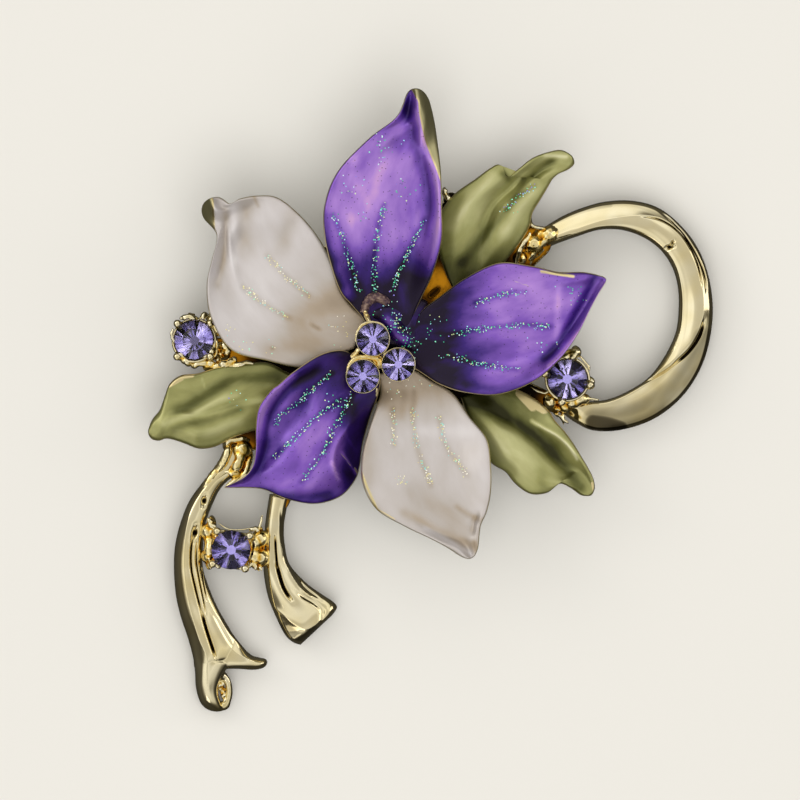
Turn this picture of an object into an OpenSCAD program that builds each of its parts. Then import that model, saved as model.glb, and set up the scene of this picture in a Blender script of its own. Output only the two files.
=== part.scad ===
// Flower brooch: a gold-plated cast ribbon frame that carries three enamelled leaves,
// five enamelled petals, six foil-backed stones and a plain bar pin.
// Millimetres. +Z is the way the flower faces, and the brooch lies on z = 0.
// Tables give places from the middle of the flower: +X is right and +Y is up in a front view.

/* [Metal] */
// Wall of a petal
petal_wall = 0.9; // [0.8:0.05:0.95]
// Wall of a leaf
leaf_wall = 0.9; // [0.8:0.05:1.0]
// Wall of the ribbon's loop
loop_wall = 2.2; // [1.8:0.1:2.4]
// Wall of the ribbon's tails
tail_wall = 1.8; // [1.6:0.1:1.8]
// Thickness of the plate and its arms behind the flower
plate_thick = 1.2; // [1.0:0.1:1.2]
// Amount by which a wall's back is narrower than its face, on each side
back_inset = 0.2; // [0.1:0.05:0.3]

/* [Stones] */
// Diameter of the three centre stones
centre_stone_d = 3.2; // [3.0:0.1:3.3]
// Diameter of the three outer stones
outer_stone_d = 3.9; // [3.7:0.1:4.0]
// Clear space between a stone and its cup
stone_gap = 0.1; // [0.1:0.01:0.15]
// Facets round a stone's table
table_sides = 8; // [8:1:8]

/* [Pin] */
// Length of the bar that carries the pin
bar_l = 22; // [20:1:23]
// Width of the bar
bar_w = 3.4; // [3.0:0.2:4.0]
// Diameter of the pin's needle
needle_d = 0.9; // [0.7:0.1:1.0]

/* [Hidden] */

// Moves the middle of the flower so that the origin is under the middle of the whole brooch
flower_at = [-5.0, 4.32];

// Levels above the surface that the brooch lies on
bar_top = 3.4;
piece_gap = 0.1;
plate_low = bar_top + piece_gap;
plate_top = plate_low + plate_thick;
cluster_floor = 8.35;
cluster_rim = 10.2;

gold = "#d8c07a";
purple = "#6d42b0";
pearl = "#ded8d2";
green = "#8c9159";
violet = "#8f86cf";

// Sheets: petals, leaves and ribbon are walls over a table of sections.
// A smooth curve through the rows of a table, at row number t
function row_at(rows, t) =
    let (last = len(rows) - 1,
         i = min(floor(t), last - 1),
         f = t - i,
         a = rows[max(i - 1, 0)], b = rows[i], c = rows[i + 1], d = rows[min(i + 2, last)])
    0.5 * (2 * b + (c - a) * f + (2 * a - 5 * b + 4 * c - d) * f * f
           + (3 * b - a - 3 * c + d) * f * f * f);

// Columns of a section: left edge x, y; right edge x, y; then the heights of the face
// at five places from the left edge to the right one
function left_edge(row) = [row[0], row[1]];
function right_edge(row) = [row[2], row[3]];
function heights(row) = [for (k = [4:8]) row[k]];

// Columns of a fold: first row, last row, place across at the first and at the last row
// (0 left, 1 right), half width, and height (negative is a groove)
function fold_lift(fold, t, v, width) =
    let (s = (t - fold[0]) / (fold[1] - fold[0]))
    s < 0 || s > 1 ? 0 :
    let (off = (v - fold[2] - (fold[3] - fold[2]) * s) * width / fold[4])
    fold[5] * min(1, 4 * s, 4 * (1 - s)) * exp(-off * off);
function folds_lift(folds, t, v, width) =
    len(folds) == 0 ? 0 :
    [for (f = folds) fold_lift(f, t, v, width)] * [for (f = folds) 1];

// A point of the face at row number t and place v across. squeeze rounds the tip.
function face_point(rows, folds, t, v, squeeze, inset, drop) =
    let (row = row_at(rows, t),
         l = left_edge(row), r = right_edge(row),
         middle = (l + r) / 2, half = (r - l) / 2, reach = norm(half),
         narrow = max(0.6, 1 - inset / reach),
         across = 0.5 + (v - 0.5) * squeeze,
         xy = middle + half * (2 * across - 1) * narrow,
         z = row_at(heights(row), across * 4) + folds_lift(folds, t, across, 2 * reach))
    [xy[0], xy[1], z - drop];

// Stations along a sheet, each with its row number and how much the tip is rounded
function stations(rows, per_row, tip) =
    let (last = len(rows) - 1)
    concat([for (k = [0 : floor((last - tip) * per_row)]) [k / per_row, 1]],
           tip == 0 ? [[last, 1]] :
           [for (a = [25, 50, 70, 84]) [last - tip + tip * sin(a), cos(a)]]);

module sheet(rows, folds, wall, across_n, per_row = 2, tip = 0.8) {
    along = stations(rows, per_row, tip);
    n = len(along);
    m = across_n + 1;
    face = [for (s = along) for (j = [0:across_n])
            face_point(rows, folds, s[0], j / across_n, s[1], 0, 0)];
    back = [for (s = along) for (j = [0:across_n])
            face_point(rows, folds, s[0], j / across_n, s[1], back_inset, wall)];
    b = n * m;
    polyhedron(points = concat(face, back), faces = concat(
        [for (i = [0 : n - 2]) for (j = [0 : m - 2]) [i * m + j, (i + 1) * m + j, (i + 1) * m + j + 1]],
        [for (i = [0 : n - 2]) for (j = [0 : m - 2]) [i * m + j, (i + 1) * m + j + 1, i * m + j + 1]],
        [for (i = [0 : n - 2]) for (j = [0 : m - 2])
            [b + i * m + j, b + (i + 1) * m + j + 1, b + (i + 1) * m + j]],
        [for (i = [0 : n - 2]) for (j = [0 : m - 2])
            [b + i * m + j, b + i * m + j + 1, b + (i + 1) * m + j + 1]],
        side([for (i = [0 : n - 1]) i * m], b, false),
        side([for (i = [0 : n - 1]) i * m + m - 1], b, true),
        side([for (j = [0 : m - 1]) j], b, true),
        side([for (j = [0 : m - 1]) (n - 1) * m + j], b, false)), convexity = 6);
}

// The triangles of one edge of a sheet, between its face and its back
function side(edge, b, turned) = [
    for (k = [0 : len(edge) - 2])
        for (tri = [[edge[k], b + edge[k], b + edge[k + 1]], [edge[k], b + edge[k + 1], edge[k + 1]]])
            turned ? [tri[0], tri[2], tri[1]] : tri];

// Petals
top_petal = [
    // left x, y, right x, y, heights from left to right
    [-1.6, 1.3,  2.2, 1.2,   7.8,  7.8,  7.8,  7.8,  7.8],
    [-1.7, 3.6,  2.9, 2.8,   7.8,  7.8,  7.8,  7.8,  7.8],
    [-2.9, 5.2,  3.5, 4.6,   8.2,  7.9,  7.8,  7.9,  8.2],
    [-4.0, 6.5,  4.2, 6.2,   9.1,  8.2,  7.9,  8.1,  9.0],
    [-4.8, 8.5,  5.2, 8.4,   9.9,  8.8,  8.4,  8.4,  10.0],
    [-5.6, 11.7, 6.1, 11.7,  10.6, 9.8,  9.4,  9.1,  11.0],
    [-5.7, 15.0, 6.1, 15.0,  11.0, 10.5, 10.1, 9.7,  11.5],
    [-4.4, 18.5, 6.0, 18.6,  11.2, 11.0, 10.7, 10.4, 11.4],
    [-1.3, 21.8, 5.7, 21.3,  11.5, 11.4, 10.9, 11.8, 10.6],
    [1.3, 23.8,  5.4, 23.4,  11.9, 11.2, 12.2, 12.2, 10.2],
    [2.2, 25.4,  5.0, 25.2,  12.2, 11.7, 12.8, 12.1, 10.2],
    [2.5, 26.9,  4.5, 26.8,  12.2, 12.2, 12.6, 12.0, 10.8]];
top_petal_folds = [[3.5, 8.5, 0.9, 0.62, 0.5, -0.35]];

right_petal = [
    [2.4, 0.9,   1.8, -1.2,  7.8,  7.8,  7.8,  7.8,  7.8],
    [3.1, 2.5,   3.2, -1.1,  7.8,  7.8,  7.8,  7.8,  7.8],
    [3.9, 4.6,   4.3, -1.7,  8.2,  7.9,  7.8,  7.9,  8.1],
    [5.8, 6.1,   5.9, -2.7,  8.9,  8.2,  8.0,  8.1,  8.8],
    [8.4, 8.0,   8.4, -3.5,  9.5,  8.9,  8.5,  8.6,  9.6],
    [11.7, 9.5,  11.7, -3.7, 10.2, 9.9,  9.5,  9.4,  10.5],
    [15.0, 9.2,  15.2, -2.4, 10.7, 10.5, 10.2, 10.0, 11.2],
    [17.7, 8.6,  17.8, -0.2, 11.0, 10.8, 10.5, 10.3, 11.6],
    [19.9, 8.6,  19.6, 2.3,  11.3, 11.0, 10.7, 10.5, 11.9],
    [21.2, 8.4,  20.9, 4.9,  11.5, 11.2, 10.9, 10.9, 12.2],
    [21.9, 8.2,  21.9, 6.7,  11.7, 11.5, 11.4, 11.6, 12.3],
    [22.4, 8.1,  22.5, 7.5,  12.0, 12.0, 12.0, 12.1, 12.2]];
right_petal_folds = [[6, 10.4, 0.86, 0.6, 0.55, -0.5], [6.5, 9, 0.12, 0.1, 0.5, 0.25]];

lower_petal = [
    [0.0, -2.2,    -2.3, 0.1,    7.8, 7.8,  7.8,  7.8,  7.8],
    [-0.3, -3.9,   -4.0, 0.8,    7.6, 7.8,  7.8,  7.9,  8.1],
    [-1.0, -5.8,   -6.2, 0.3,    7.0, 8.0,  8.2,  8.2,  9.0],
    [-1.8, -8.6,   -8.8, -1.4,   6.5, 8.3,  8.7,  8.4,  9.7],
    [-2.1, -10.8,  -10.2, -2.6,  6.2, 8.5,  8.9,  8.4,  9.9],
    [-2.6, -12.3,  -11.0, -3.2,  6.4, 8.6,  9.0,  8.5,  10.0],
    [-4.1, -13.9,  -12.2, -4.9,  7.0, 8.7,  9.0,  8.4,  10.1],
    [-6.6, -14.6,  -12.5, -7.0,  7.6, 8.6,  8.8,  8.2,  10.0],
    [-9.5, -14.1,  -12.5, -9.0,  7.8, 8.2,  8.3,  8.1,  9.8],
    [-11.6, -13.2, -12.8, -10.7, 7.8, 7.8,  7.9,  8.2,  9.4],
    [-13.5, -13.0, -13.8, -11.9, 7.9, 7.8,  7.9,  8.3,  9.0],
    [-15.7, -13.1, -15.7, -12.8, 8.2, 8.2,  8.2,  8.3,  8.5]];
lower_petal_folds = [[1.5, 8.5, 0.72, 0.72, 0.8, -0.35], [2, 6.5, 0.26, 0.2, 0.5, 0.4]];

pearl_left = [
    [-2.7, 0.9,   -1.4, 4.0,   6.8, 6.8,  6.8,  6.8,  6.8],
    [-4.6, 0.1,   -2.9, 5.2,   6.9, 6.9,  6.8,  6.9,  7.1],
    [-7.6, -1.0,  -4.1, 7.0,   7.2, 7.1,  7.0,  7.2,  7.7],
    [-11.4, -0.3, -5.0, 9.8,   7.9, 7.6,  7.4,  7.7,  8.5],
    [-15.0, 0.8,  -6.4, 12.3,  8.7, 8.2,  8.0,  8.5,  9.2],
    [-17.0, 4.0,  -8.2, 14.4,  9.5, 8.7,  8.6,  9.2,  9.9],
    [-17.4, 7.2,  -10.3, 16.0, 10.1, 9.2, 9.2,  10.0, 10.5],
    [-16.9, 9.7,  -12.3, 16.2, 10.4, 9.6, 10.0, 10.1, 10.9],
    [-16.4, 12.2, -14.0, 15.9, 10.6, 10.2, 10.2, 10.6, 11.2],
    [-17.7, 13.9, -15.1, 15.4, 9.6, 10.8, 11.8, 10.9, 11.2],
    [-18.2, 15.4, -15.9, 16.4, 9.8, 10.9, 12.1, 11.6, 11.2]];
pearl_left_folds = [[4.5, 8.7, 0.3, 0.42, 0.45, 0.3], [5, 8.5, 0.58, 0.6, 0.6, -0.3]];

pearl_lower = [
    [3.0, -0.9,   -0.5, -1.6,   6.8, 6.8, 6.8, 6.8, 6.8],
    [5.0, -2.2,   -0.1, -3.4,   6.9, 6.8, 6.8, 6.8, 6.8],
    [7.2, -3.5,   -0.6, -5.2,   7.4, 7.1, 7.0, 7.3, 8.2],
    [8.9, -5.9,   -1.3, -7.3,   8.3, 7.5, 7.4, 7.9, 8.8],
    [10.6, -8.1,  -1.9, -9.7,   9.2, 8.1, 8.0, 8.5, 9.2],
    [11.0, -10.8, -1.9, -12.4,  9.8, 8.7, 8.6, 9.2, 9.3],
    [11.0, -13.3, -0.5, -15.1,  10.0, 9.2, 9.2, 9.8, 9.4],
    [10.6, -15.3, 2.3, -16.8,   10.1, 9.6, 9.6, 10.0, 10.0],
    [10.0, -16.7, 5.0, -18.1,   10.3, 10.0, 9.8, 10.2, 10.6],
    [9.8, -18.3,  7.0, -19.2,   10.6, 10.3, 10.0, 10.8, 10.8],
    [9.7, -19.7,  8.4, -20.3,   11.0, 10.8, 10.7, 11.0, 11.0]];
pearl_lower_folds = [[6.5, 9.6, 0.72, 0.6, 0.35, -0.3], [6.8, 8.6, 0.12, 0.2, 0.35, -0.25]];

// Leaves
upper_leaf = [
    [7.1, 6.9,   9.2, 7.0,    5.8, 5.8, 5.8, 5.8, 5.8],
    [6.2, 9.0,   11.4, 8.5,   5.9, 6.0, 5.9, 6.0, 5.9],
    [5.6, 11.5,  13.4, 10.8,  6.0, 6.3, 6.1, 6.4, 6.0],
    [5.8, 14.2,  14.8, 12.9,  6.2, 6.7, 6.3, 6.8, 6.2],
    [7.2, 16.3,  15.2, 14.5,  6.6, 7.0, 6.5, 7.1, 6.5],
    [9.4, 17.9,  15.9, 15.7,  7.1, 7.2, 6.6, 7.2, 6.8],
    [10.9, 19.0, 16.5, 16.7,  7.4, 7.3, 6.7, 7.2, 7.0],
    [11.8, 19.3, 16.9, 17.4,  7.5, 7.2, 6.7, 7.2, 7.1],
    [12.5, 18.1, 17.2, 17.9,  7.4, 7.0, 6.8, 7.2, 7.2],
    [13.7, 18.9, 17.8, 18.4,  7.5, 7.1, 6.9, 7.2, 7.3],
    [15.3, 20.1, 18.7, 18.8,  7.7, 7.4, 7.1, 7.2, 7.2],
    [17.6, 20.8, 19.3, 19.3,  7.6, 7.5, 7.4, 7.3, 7.1],
    [18.7, 20.6, 19.4, 19.9,  7.2, 7.2, 7.2, 7.1, 7.0]];
upper_leaf_folds = [[1, 10.5, 0.5, 0.55, 0.45, -0.3]];

left_leaf = [
    [-8.8, -6.5,  -7.8, -2.0,   5.8, 5.9, 5.8, 5.9, 5.8],
    [-11.3, -7.0, -9.3, -1.4,   5.9, 6.2, 6.0, 6.1, 5.9],
    [-13.0, -7.4, -11.3, -0.4,  6.0, 6.5, 6.2, 6.3, 6.0],
    [-14.8, -8.0, -13.6, -0.5,  6.1, 6.8, 6.4, 6.5, 6.2],
    [-16.6, -8.9, -16.3, -0.9,  6.1, 7.0, 6.7, 6.6, 6.6],
    [-18.2, -9.1, -18.3, -1.5,  6.1, 7.1, 6.8, 6.7, 6.8],
    [-19.6, -8.6, -20.0, -1.7,  6.2, 7.1, 6.9, 6.8, 6.9],
    [-20.8, -8.2, -21.1, -2.5,  6.3, 7.0, 6.9, 6.9, 6.8],
    [-21.5, -8.1, -21.6, -3.7,  6.4, 6.9, 7.0, 6.9, 6.7],
    [-22.2, -8.3, -22.1, -5.1,  6.4, 6.8, 7.0, 6.9, 6.6],
    [-22.8, -8.2, -22.8, -6.0,  6.4, 6.7, 6.8, 6.8, 6.5],
    [-23.3, -7.9, -23.3, -6.9,  6.3, 6.5, 6.6, 6.5, 6.4]];
left_leaf_folds = [[0.5, 9, 0.62, 0.55, 0.45, -0.4], [1, 9.5, 0.42, 0.4, 0.4, 0.25]];

lower_leaf = [
    [12.2, -2.5,  7.9, -3.9,    5.8, 5.9, 5.8, 5.9, 5.8],
    [14.7, -3.6,  8.7, -6.0,    5.9, 6.0, 6.0, 6.3, 6.0],
    [16.6, -5.0,  9.8, -8.5,    6.2, 6.0, 6.4, 6.7, 6.2],
    [17.4, -6.2,  11.0, -10.5,  6.7, 6.2, 6.6, 7.0, 6.4],
    [18.2, -7.1,  12.4, -11.4,  7.0, 6.3, 6.7, 7.2, 6.6],
    [18.9, -8.0,  13.4, -12.6,  7.2, 6.4, 6.8, 7.3, 6.8],
    [19.5, -8.9,  14.9, -13.6,  7.3, 6.5, 6.8, 7.3, 6.9],
    [20.1, -9.9,  16.6, -13.5,  7.4, 6.6, 6.8, 7.2, 6.9],
    [20.7, -10.9, 17.8, -12.6,  7.4, 6.8, 6.9, 7.1, 7.0],
    [21.2, -11.9, 18.9, -13.0,  7.4, 7.0, 7.0, 7.1, 7.0],
    [21.4, -12.8, 19.9, -13.7,  7.3, 7.1, 7.1, 7.1, 7.0],
    [21.3, -13.6, 20.7, -13.9,  7.2, 7.1, 7.1, 7.1, 7.0]];
lower_leaf_folds = [[1, 10, 0.25, 0.35, 0.45, -0.4]];

// Ribbon. On the loop the left edge is the outer one, and on the tails it is the inner one.
loop_rows = [
    [16.0, 12.9, 15.0, 10.2,  4.5, 4.7, 4.8, 5.0, 4.7],
    [17.9, 14.1, 17.3, 11.3,  4.4, 4.6, 4.8, 5.0, 4.7],
    [19.9, 15.0, 19.5, 12.1,  4.3, 4.5, 4.7, 4.9, 4.8],
    [22.4, 15.7, 21.8, 12.8,  4.2, 4.5, 4.7, 4.9, 4.9],
    [25.2, 15.8, 24.1, 12.8,  4.1, 4.4, 4.6, 4.8, 4.7],
    [27.8, 15.1, 26.2, 12.1,  3.9, 4.2, 4.6, 4.6, 4.4],
    [30.0, 13.4, 27.9, 10.9,  3.7, 4.1, 4.4, 4.3, 4.1],
    [31.7, 11.2, 29.1, 9.2,   3.7, 4.1, 4.3, 4.2, 4.0],
    [32.8, 8.5,  29.7, 7.2,   3.6, 4.0, 4.2, 4.1, 3.9],
    [33.3, 5.2,  29.8, 5.0,   3.6, 4.0, 4.2, 4.0, 3.8],
    [33.0, 1.9,  29.5, 2.6,   3.6, 3.9, 4.2, 4.1, 3.9],
    [32.0, -1.2, 28.4, 0.2,   3.6, 3.8, 4.1, 4.3, 4.1],
    [30.1, -4.0, 26.8, -1.9,  3.6, 3.8, 4.1, 4.3, 4.4],
    [27.4, -6.1, 24.7, -3.3,  3.7, 3.9, 4.1, 4.3, 4.5],
    [24.2, -7.2, 22.7, -4.1,  3.8, 4.0, 4.2, 4.4, 4.5],
    [21.4, -7.3, 20.9, -4.3,  3.9, 4.1, 4.3, 4.4, 4.5],
    [19.5, -6.5, 19.4, -4.4,  4.0, 4.1, 4.3, 4.5, 4.5],
    [17.9, -5.3, 17.9, -3.9,  4.1, 4.2, 4.4, 4.5, 4.5]];

long_tail_rows = [
    [-12.8, -7.8,  -15.2, -8.6,   4.8, 5.0, 5.1, 5.0, 4.6],
    [-13.8, -10.8, -16.5, -10.7,  4.8, 5.0, 5.1, 5.0, 4.6],
    [-15.9, -12.9, -17.9, -12.4,  4.7, 4.9, 5.1, 5.0, 4.4],
    [-16.9, -14.8, -19.3, -14.4,  4.5, 4.8, 5.0, 4.9, 4.1],
    [-17.6, -16.8, -20.2, -16.7,  4.4, 4.7, 4.9, 4.8, 3.9],
    [-17.8, -19.0, -20.7, -18.9,  4.3, 4.6, 4.8, 4.7, 3.8],
    [-17.8, -21.0, -20.8, -21.2,  4.2, 4.5, 4.7, 4.6, 3.7],
    [-17.2, -23.0, -20.6, -23.8,  4.0, 4.4, 4.6, 4.5, 3.5],
    [-16.3, -25.1, -20.1, -26.0,  3.7, 4.1, 4.4, 4.4, 3.4],
    [-15.1, -27.2, -19.4, -28.1,  3.4, 3.8, 4.1, 4.1, 3.1],
    [-13.9, -28.8, -18.9, -30.0,  3.1, 3.5, 3.8, 3.8, 2.8],
    [-14.3, -30.3, -18.8, -31.0,  3.0, 3.3, 3.6, 3.6, 2.6]];
tail_folds = [[2, 10.6, 0.36, 0.52, 0.28, -0.6]];
prong_right_rows = [
    [-14.6, -28.2, -16.6, -31.2,  2.8, 3.4, 3.6, 3.5, 3.2],
    [-13.3, -29.5, -14.4, -31.2,  2.6, 3.0, 3.2, 3.1, 2.8],
    [-12.2, -30.0, -12.8, -31.3,  2.3, 2.6, 2.8, 2.7, 2.4],
    [-11.3, -30.1, -11.5, -31.1,  2.1, 2.3, 2.4, 2.3, 2.1]];
prong_lower_rows = [
    [-15.0, -30.4, -18.8, -30.2,  3.1, 3.5, 3.7, 3.6, 2.7],
    [-15.8, -31.8, -18.7, -31.6,  2.9, 3.3, 3.5, 3.4, 2.5],
    [-16.3, -33.3, -18.6, -33.1,  2.7, 3.0, 3.2, 3.0, 2.3],
    [-16.0, -34.6, -18.2, -34.5,  2.3, 2.6, 2.7, 2.5, 2.0],
    [-15.5, -35.5, -17.4, -35.5,  1.7, 1.8, 1.8, 1.7, 1.5]];
short_tail_rows = [
    [-9.1, -13.6, -11.2, -13.6,  4.8, 4.9, 5.0, 4.9, 4.7],
    [-9.5, -15.5, -11.5, -15.5,  4.7, 4.9, 5.0, 4.9, 4.6],
    [-9.7, -17.0, -11.7, -17.2,  4.5, 4.8, 4.9, 4.8, 4.4],
    [-9.6, -18.8, -11.8, -19.2,  4.3, 4.6, 4.8, 4.7, 4.1],
    [-9.1, -20.7, -11.8, -21.4,  4.0, 4.4, 4.6, 4.5, 3.9],
    [-7.5, -22.5, -11.4, -23.8,  3.6, 4.1, 4.4, 4.3, 3.6],
    [-6.0, -23.6, -10.6, -25.9,  3.3, 3.8, 4.1, 3.9, 3.2],
    [-4.8, -24.4, -9.7, -27.7,   3.0, 3.4, 3.6, 3.4, 2.7],
    [-4.4, -25.0, -8.9, -28.5,   2.7, 3.0, 3.1, 2.9, 2.3],
    [-4.9, -25.8, -8.1, -28.8,   2.3, 2.5, 2.5, 2.3, 1.9]];
short_tail_folds = [[1, 6.2, 0.5, 0.55, 0.26, -0.7]];

// Columns of an outer setting: middle x, y; height of the girdle; turn of the prongs; lean and
// its direction; radius of the cup; depth of the cup's rim below the girdle
cup_left = [-18.72, 1.8, 6.2, 45, 9, 135, 2.3, 0.1];
cup_right = [18.65, -2.12, 6.0, 76, 0, 0, 2.3, 0.1];
cup_tail = [-15.0, -19.2, 5.6, 37, 0, 0, 1.95, 0.5];
cup_depth = 2.5;
prong_at = 2.35;
prong_r = 0.42;

// Places of the three centre stones
centre_stones_at = [[-0.8, 1.85], [1.74, -0.66], [-1.8, -1.84]];

girdle = 0.15;
function crown(d) = 0.17 * d;
function pavilion(d) = 0.42 * d;

// Puts its children in a setting's own frame, with z = 0 at the rim
module at_cup(cup) {
    translate([cup[0], cup[1], cup[2]])
        rotate(cup[5]) rotate([0, cup[4], 0]) rotate(-cup[5]) children();
}

// A cut stone with its girdle's top at z = 0: a table, three facets for each of its sides,
// a thin girdle and a pointed back
module stone(d) {
    r = d / 2;
    n = table_sides;
    ring = function(count, radius, z) [for (k = [0 : count - 1])
        [radius * cos(360 * k / count), radius * sin(360 * k / count), z]];
    g = n;
    b = g + 2 * n;
    color(violet) polyhedron(
        points = concat(ring(n, 0.56 * r, crown(d)), ring(2 * n, r, 0), ring(2 * n, r, -girdle),
                        [[0, 0, -girdle - pavilion(d)]]),
        faces = concat(
            [[for (k = [n - 1 : -1 : 0]) k]],
            [for (k = [0 : n - 1]) [k, g + 2 * k + 1, g + 2 * k]],
            [for (k = [0 : n - 1]) [k, (k + 1) % n, g + 2 * k + 1]],
            [for (k = [0 : n - 1]) [(k + 1) % n, g + (2 * k + 2) % (2 * n), g + 2 * k + 1]],
            [for (k = [0 : 2 * n - 1]) [g + k, g + (k + 1) % (2 * n), b + (k + 1) % (2 * n), b + k]],
            [for (k = [0 : 2 * n - 1]) [b + k, b + (k + 1) % (2 * n), b + 2 * n]]));
}

// The hollow for a stone, with the girdle's top at z = 0
module seat(d) {
    r = d / 2 + stone_gap;
    low = girdle + 0.05;
    translate([0, 0, -low]) cylinder(r = r, h = low + 1, $fn = 20);
    translate([0, 0, -low - pavilion(d) - 0.08])
        cylinder(r1 = 0.12, r2 = r, h = pavilion(d) + 0.081, $fn = 20);
}

// A round cup between four bead prongs
module setting(cup) {
    base = 2.3;
    difference() {
        union() {
            hull() for (k = [0:3]) rotate(cup[3] + 90 * k) translate([prong_at - 0.15, 0, -cup_depth])
                cylinder(r = prong_r, h = base - 0.9, $fn = 8);
            translate([0, 0, -cup_depth]) cylinder(r = cup[6], h = cup_depth - cup[7], $fn = 20);
            for (k = [0:3]) rotate(cup[3] + 90 * k) translate([prong_at, 0, 0]) {
                translate([-0.1, 0, -cup_depth + 0.5]) cylinder(r = 0.3, h = cup_depth - 0.5, $fn = 8);
                sphere(r = prong_r, $fn = 8);
            }
        }
        seat(outer_stone_d);
    }
}

// A bar of the frame from a to b, each with x, y, z and radius
module arm(a, b) {
    hull() for (p = [a, b]) translate([p[0], p[1], p[2]])
        cylinder(r = p[3], h = plate_thick, $fn = 12);
}

// The three leaves and the ribbon spring from these arms behind the flower
hub = [0, 0, plate_low, 4.2];
frame_arms = [
    // from x, y, z, radius; to x, y, z, radius
    [hub, [15.4, 11.6, plate_low, 1.7]],
    [hub, [16.8, -4.4, plate_low - 0.6, 1.0]],
    [hub, [-14.6, -8.6, plate_low - 0.2, 1.3]],
    [[-6.0, -4.0, plate_low, 1.6], [-10.1, -14.4, plate_low - 0.5, 0.9]],
    [hub, [-16.6, 0.9, plate_low - 0.1, 1.1]],
    [hub, [-6.6, 9.5, plate_low, 1.9]],
    [hub, [1.0, 7.6, plate_low, 3.4]],
    [[6.0, 5.0, plate_low, 1.8], [7.0, 15.8, plate_low, 0.8]],
    [[-6.6, 9.5, plate_low, 1.6], [13.4, 9.5, plate_low, 1.6]]];

// Lumps of solder where the ribbon, the leaves and the settings join
solder_lumps = [
    // x, y, z, radius
    [15.3, 11.4, 4.6, 1.25], [13.9, 10.0, 4.4, 0.9], [16.1, 12.3, 4.5, 1.0],
    [-13.9, -9.2, 4.6, 1.2], [-14.6, -11.3, 4.5, 1.0],
    [17.0, -4.6, 4.4, 0.9], [18.4, -4.8, 4.4, 0.9], [20.0, -4.3, 4.4, 0.7],
    [-15.9, 0.7, 4.7, 1.1], [-17.0, -1.0, 4.3, 0.8],
    [-17.3, -17.4, 4.1, 0.95], [-17.2, -19.8, 4.1, 0.95],
    [-12.1, -18.1, 4.1, 1.05], [-12.0, -20.0, 4.1, 1.05]];

module ribbon_frame() {
    color(gold) union() {
        for (a = frame_arms) arm(a[0], a[1]);
        for (s = solder_lumps) translate([s[0], s[1], s[2]]) sphere(r = s[3], $fn = 8);
        sheet(loop_rows, [], loop_wall, 7, 2, 0);
        sheet(long_tail_rows, tail_folds, tail_wall, 7, 2, 0);
        sheet(short_tail_rows, short_tail_folds, tail_wall, 7, 2, 0);
        sheet(prong_right_rows, [], tail_wall - 0.6, 5, 2, 0.6);
        sheet(prong_lower_rows, [], tail_wall - 0.4, 5, 2, 0.7);
        // The lower prong's curled lip, round a small hollow
        for (a = [-85 : 35 : 90]) hull() for (b = [a, a + 35])
            translate([-15.95 + 0.72 * cos(b), -33.4 + 1.5 * sin(b), 0.8])
                cylinder(r = 0.35, h = 1.5, $fn = 8);
        for (cup = [cup_left, cup_right, cup_tail]) at_cup(cup) setting(cup);
    }
}

// Three round cups on one post that goes down to the plate between the petals' roots
post_r = 1.0;
bezel_wall = 0.2;
module centre_cups() {
    cup_r = centre_stone_d / 2 + stone_gap + bezel_wall;
    color(gold) difference() {
        union() {
            translate([0, 0, plate_top + piece_gap])
                cylinder(r = post_r, h = cluster_floor - plate_top + 0.4, $fn = 32);
            for (at = centre_stones_at) translate([at[0], at[1], cluster_floor])
                cylinder(r = cup_r, h = cluster_rim - cluster_floor, $fn = 48);
        }
        for (at = centre_stones_at) translate([at[0], at[1], cluster_rim]) seat(centre_stone_d);
    }
}

module centre_stone(k) {
    at = centre_stones_at[k];
    translate([at[0], at[1], cluster_rim]) rotate(11 * k) stone(centre_stone_d);
}

// Bar, hinge block, needle and catch, as one plain piece soldered to the frame's back
bar_at = [2.2, 9.5];
needle_z = 1.3;
module pin_back() {
    bar_thick = 0.8;
    block_w = 2.4;
    block_l = 2.6;
    end_x = bar_l / 2 - 1.6;
    color(gold) translate([bar_at[0], bar_at[1], 0]) union() {
        translate([-bar_l / 2, -bar_w / 2, bar_top - bar_thick]) cube([bar_l, bar_w, bar_thick]);
        translate([end_x - block_l / 2, -block_w / 2, 0]) cube([block_l, block_w, bar_top - bar_thick / 2]);
        translate([-end_x, 0, needle_z]) rotate([0, 90, 0])
            cylinder(d = needle_d, h = 2 * end_x, $fn = 24);
        // The catch: a hook under the needle's tip, open to one side
        translate([-end_x - 0.6, 0, 0]) {
            translate([0, -1.7, 0]) cube([1.8, 0.7, bar_top - bar_thick / 2]);
            translate([0, -1.7, 0]) cube([1.8, 2.9, 0.7]);
            translate([0, 0.6, 0]) cube([1.8, 0.6, 2.0]);
            translate([0.3, -1.4, needle_z - 0.3]) cube([1.2, 1.5, 0.6]);
        }
    }
}

module leaf(rows, folds) color(green) sheet(rows, folds, leaf_wall, 8, 2, 0.8);
module petal(rows, folds, paint) color(paint) sheet(rows, folds, petal_wall, 9, 2, 0.8);

module placed() translate([flower_at[0], flower_at[1], 0]) children();

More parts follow.
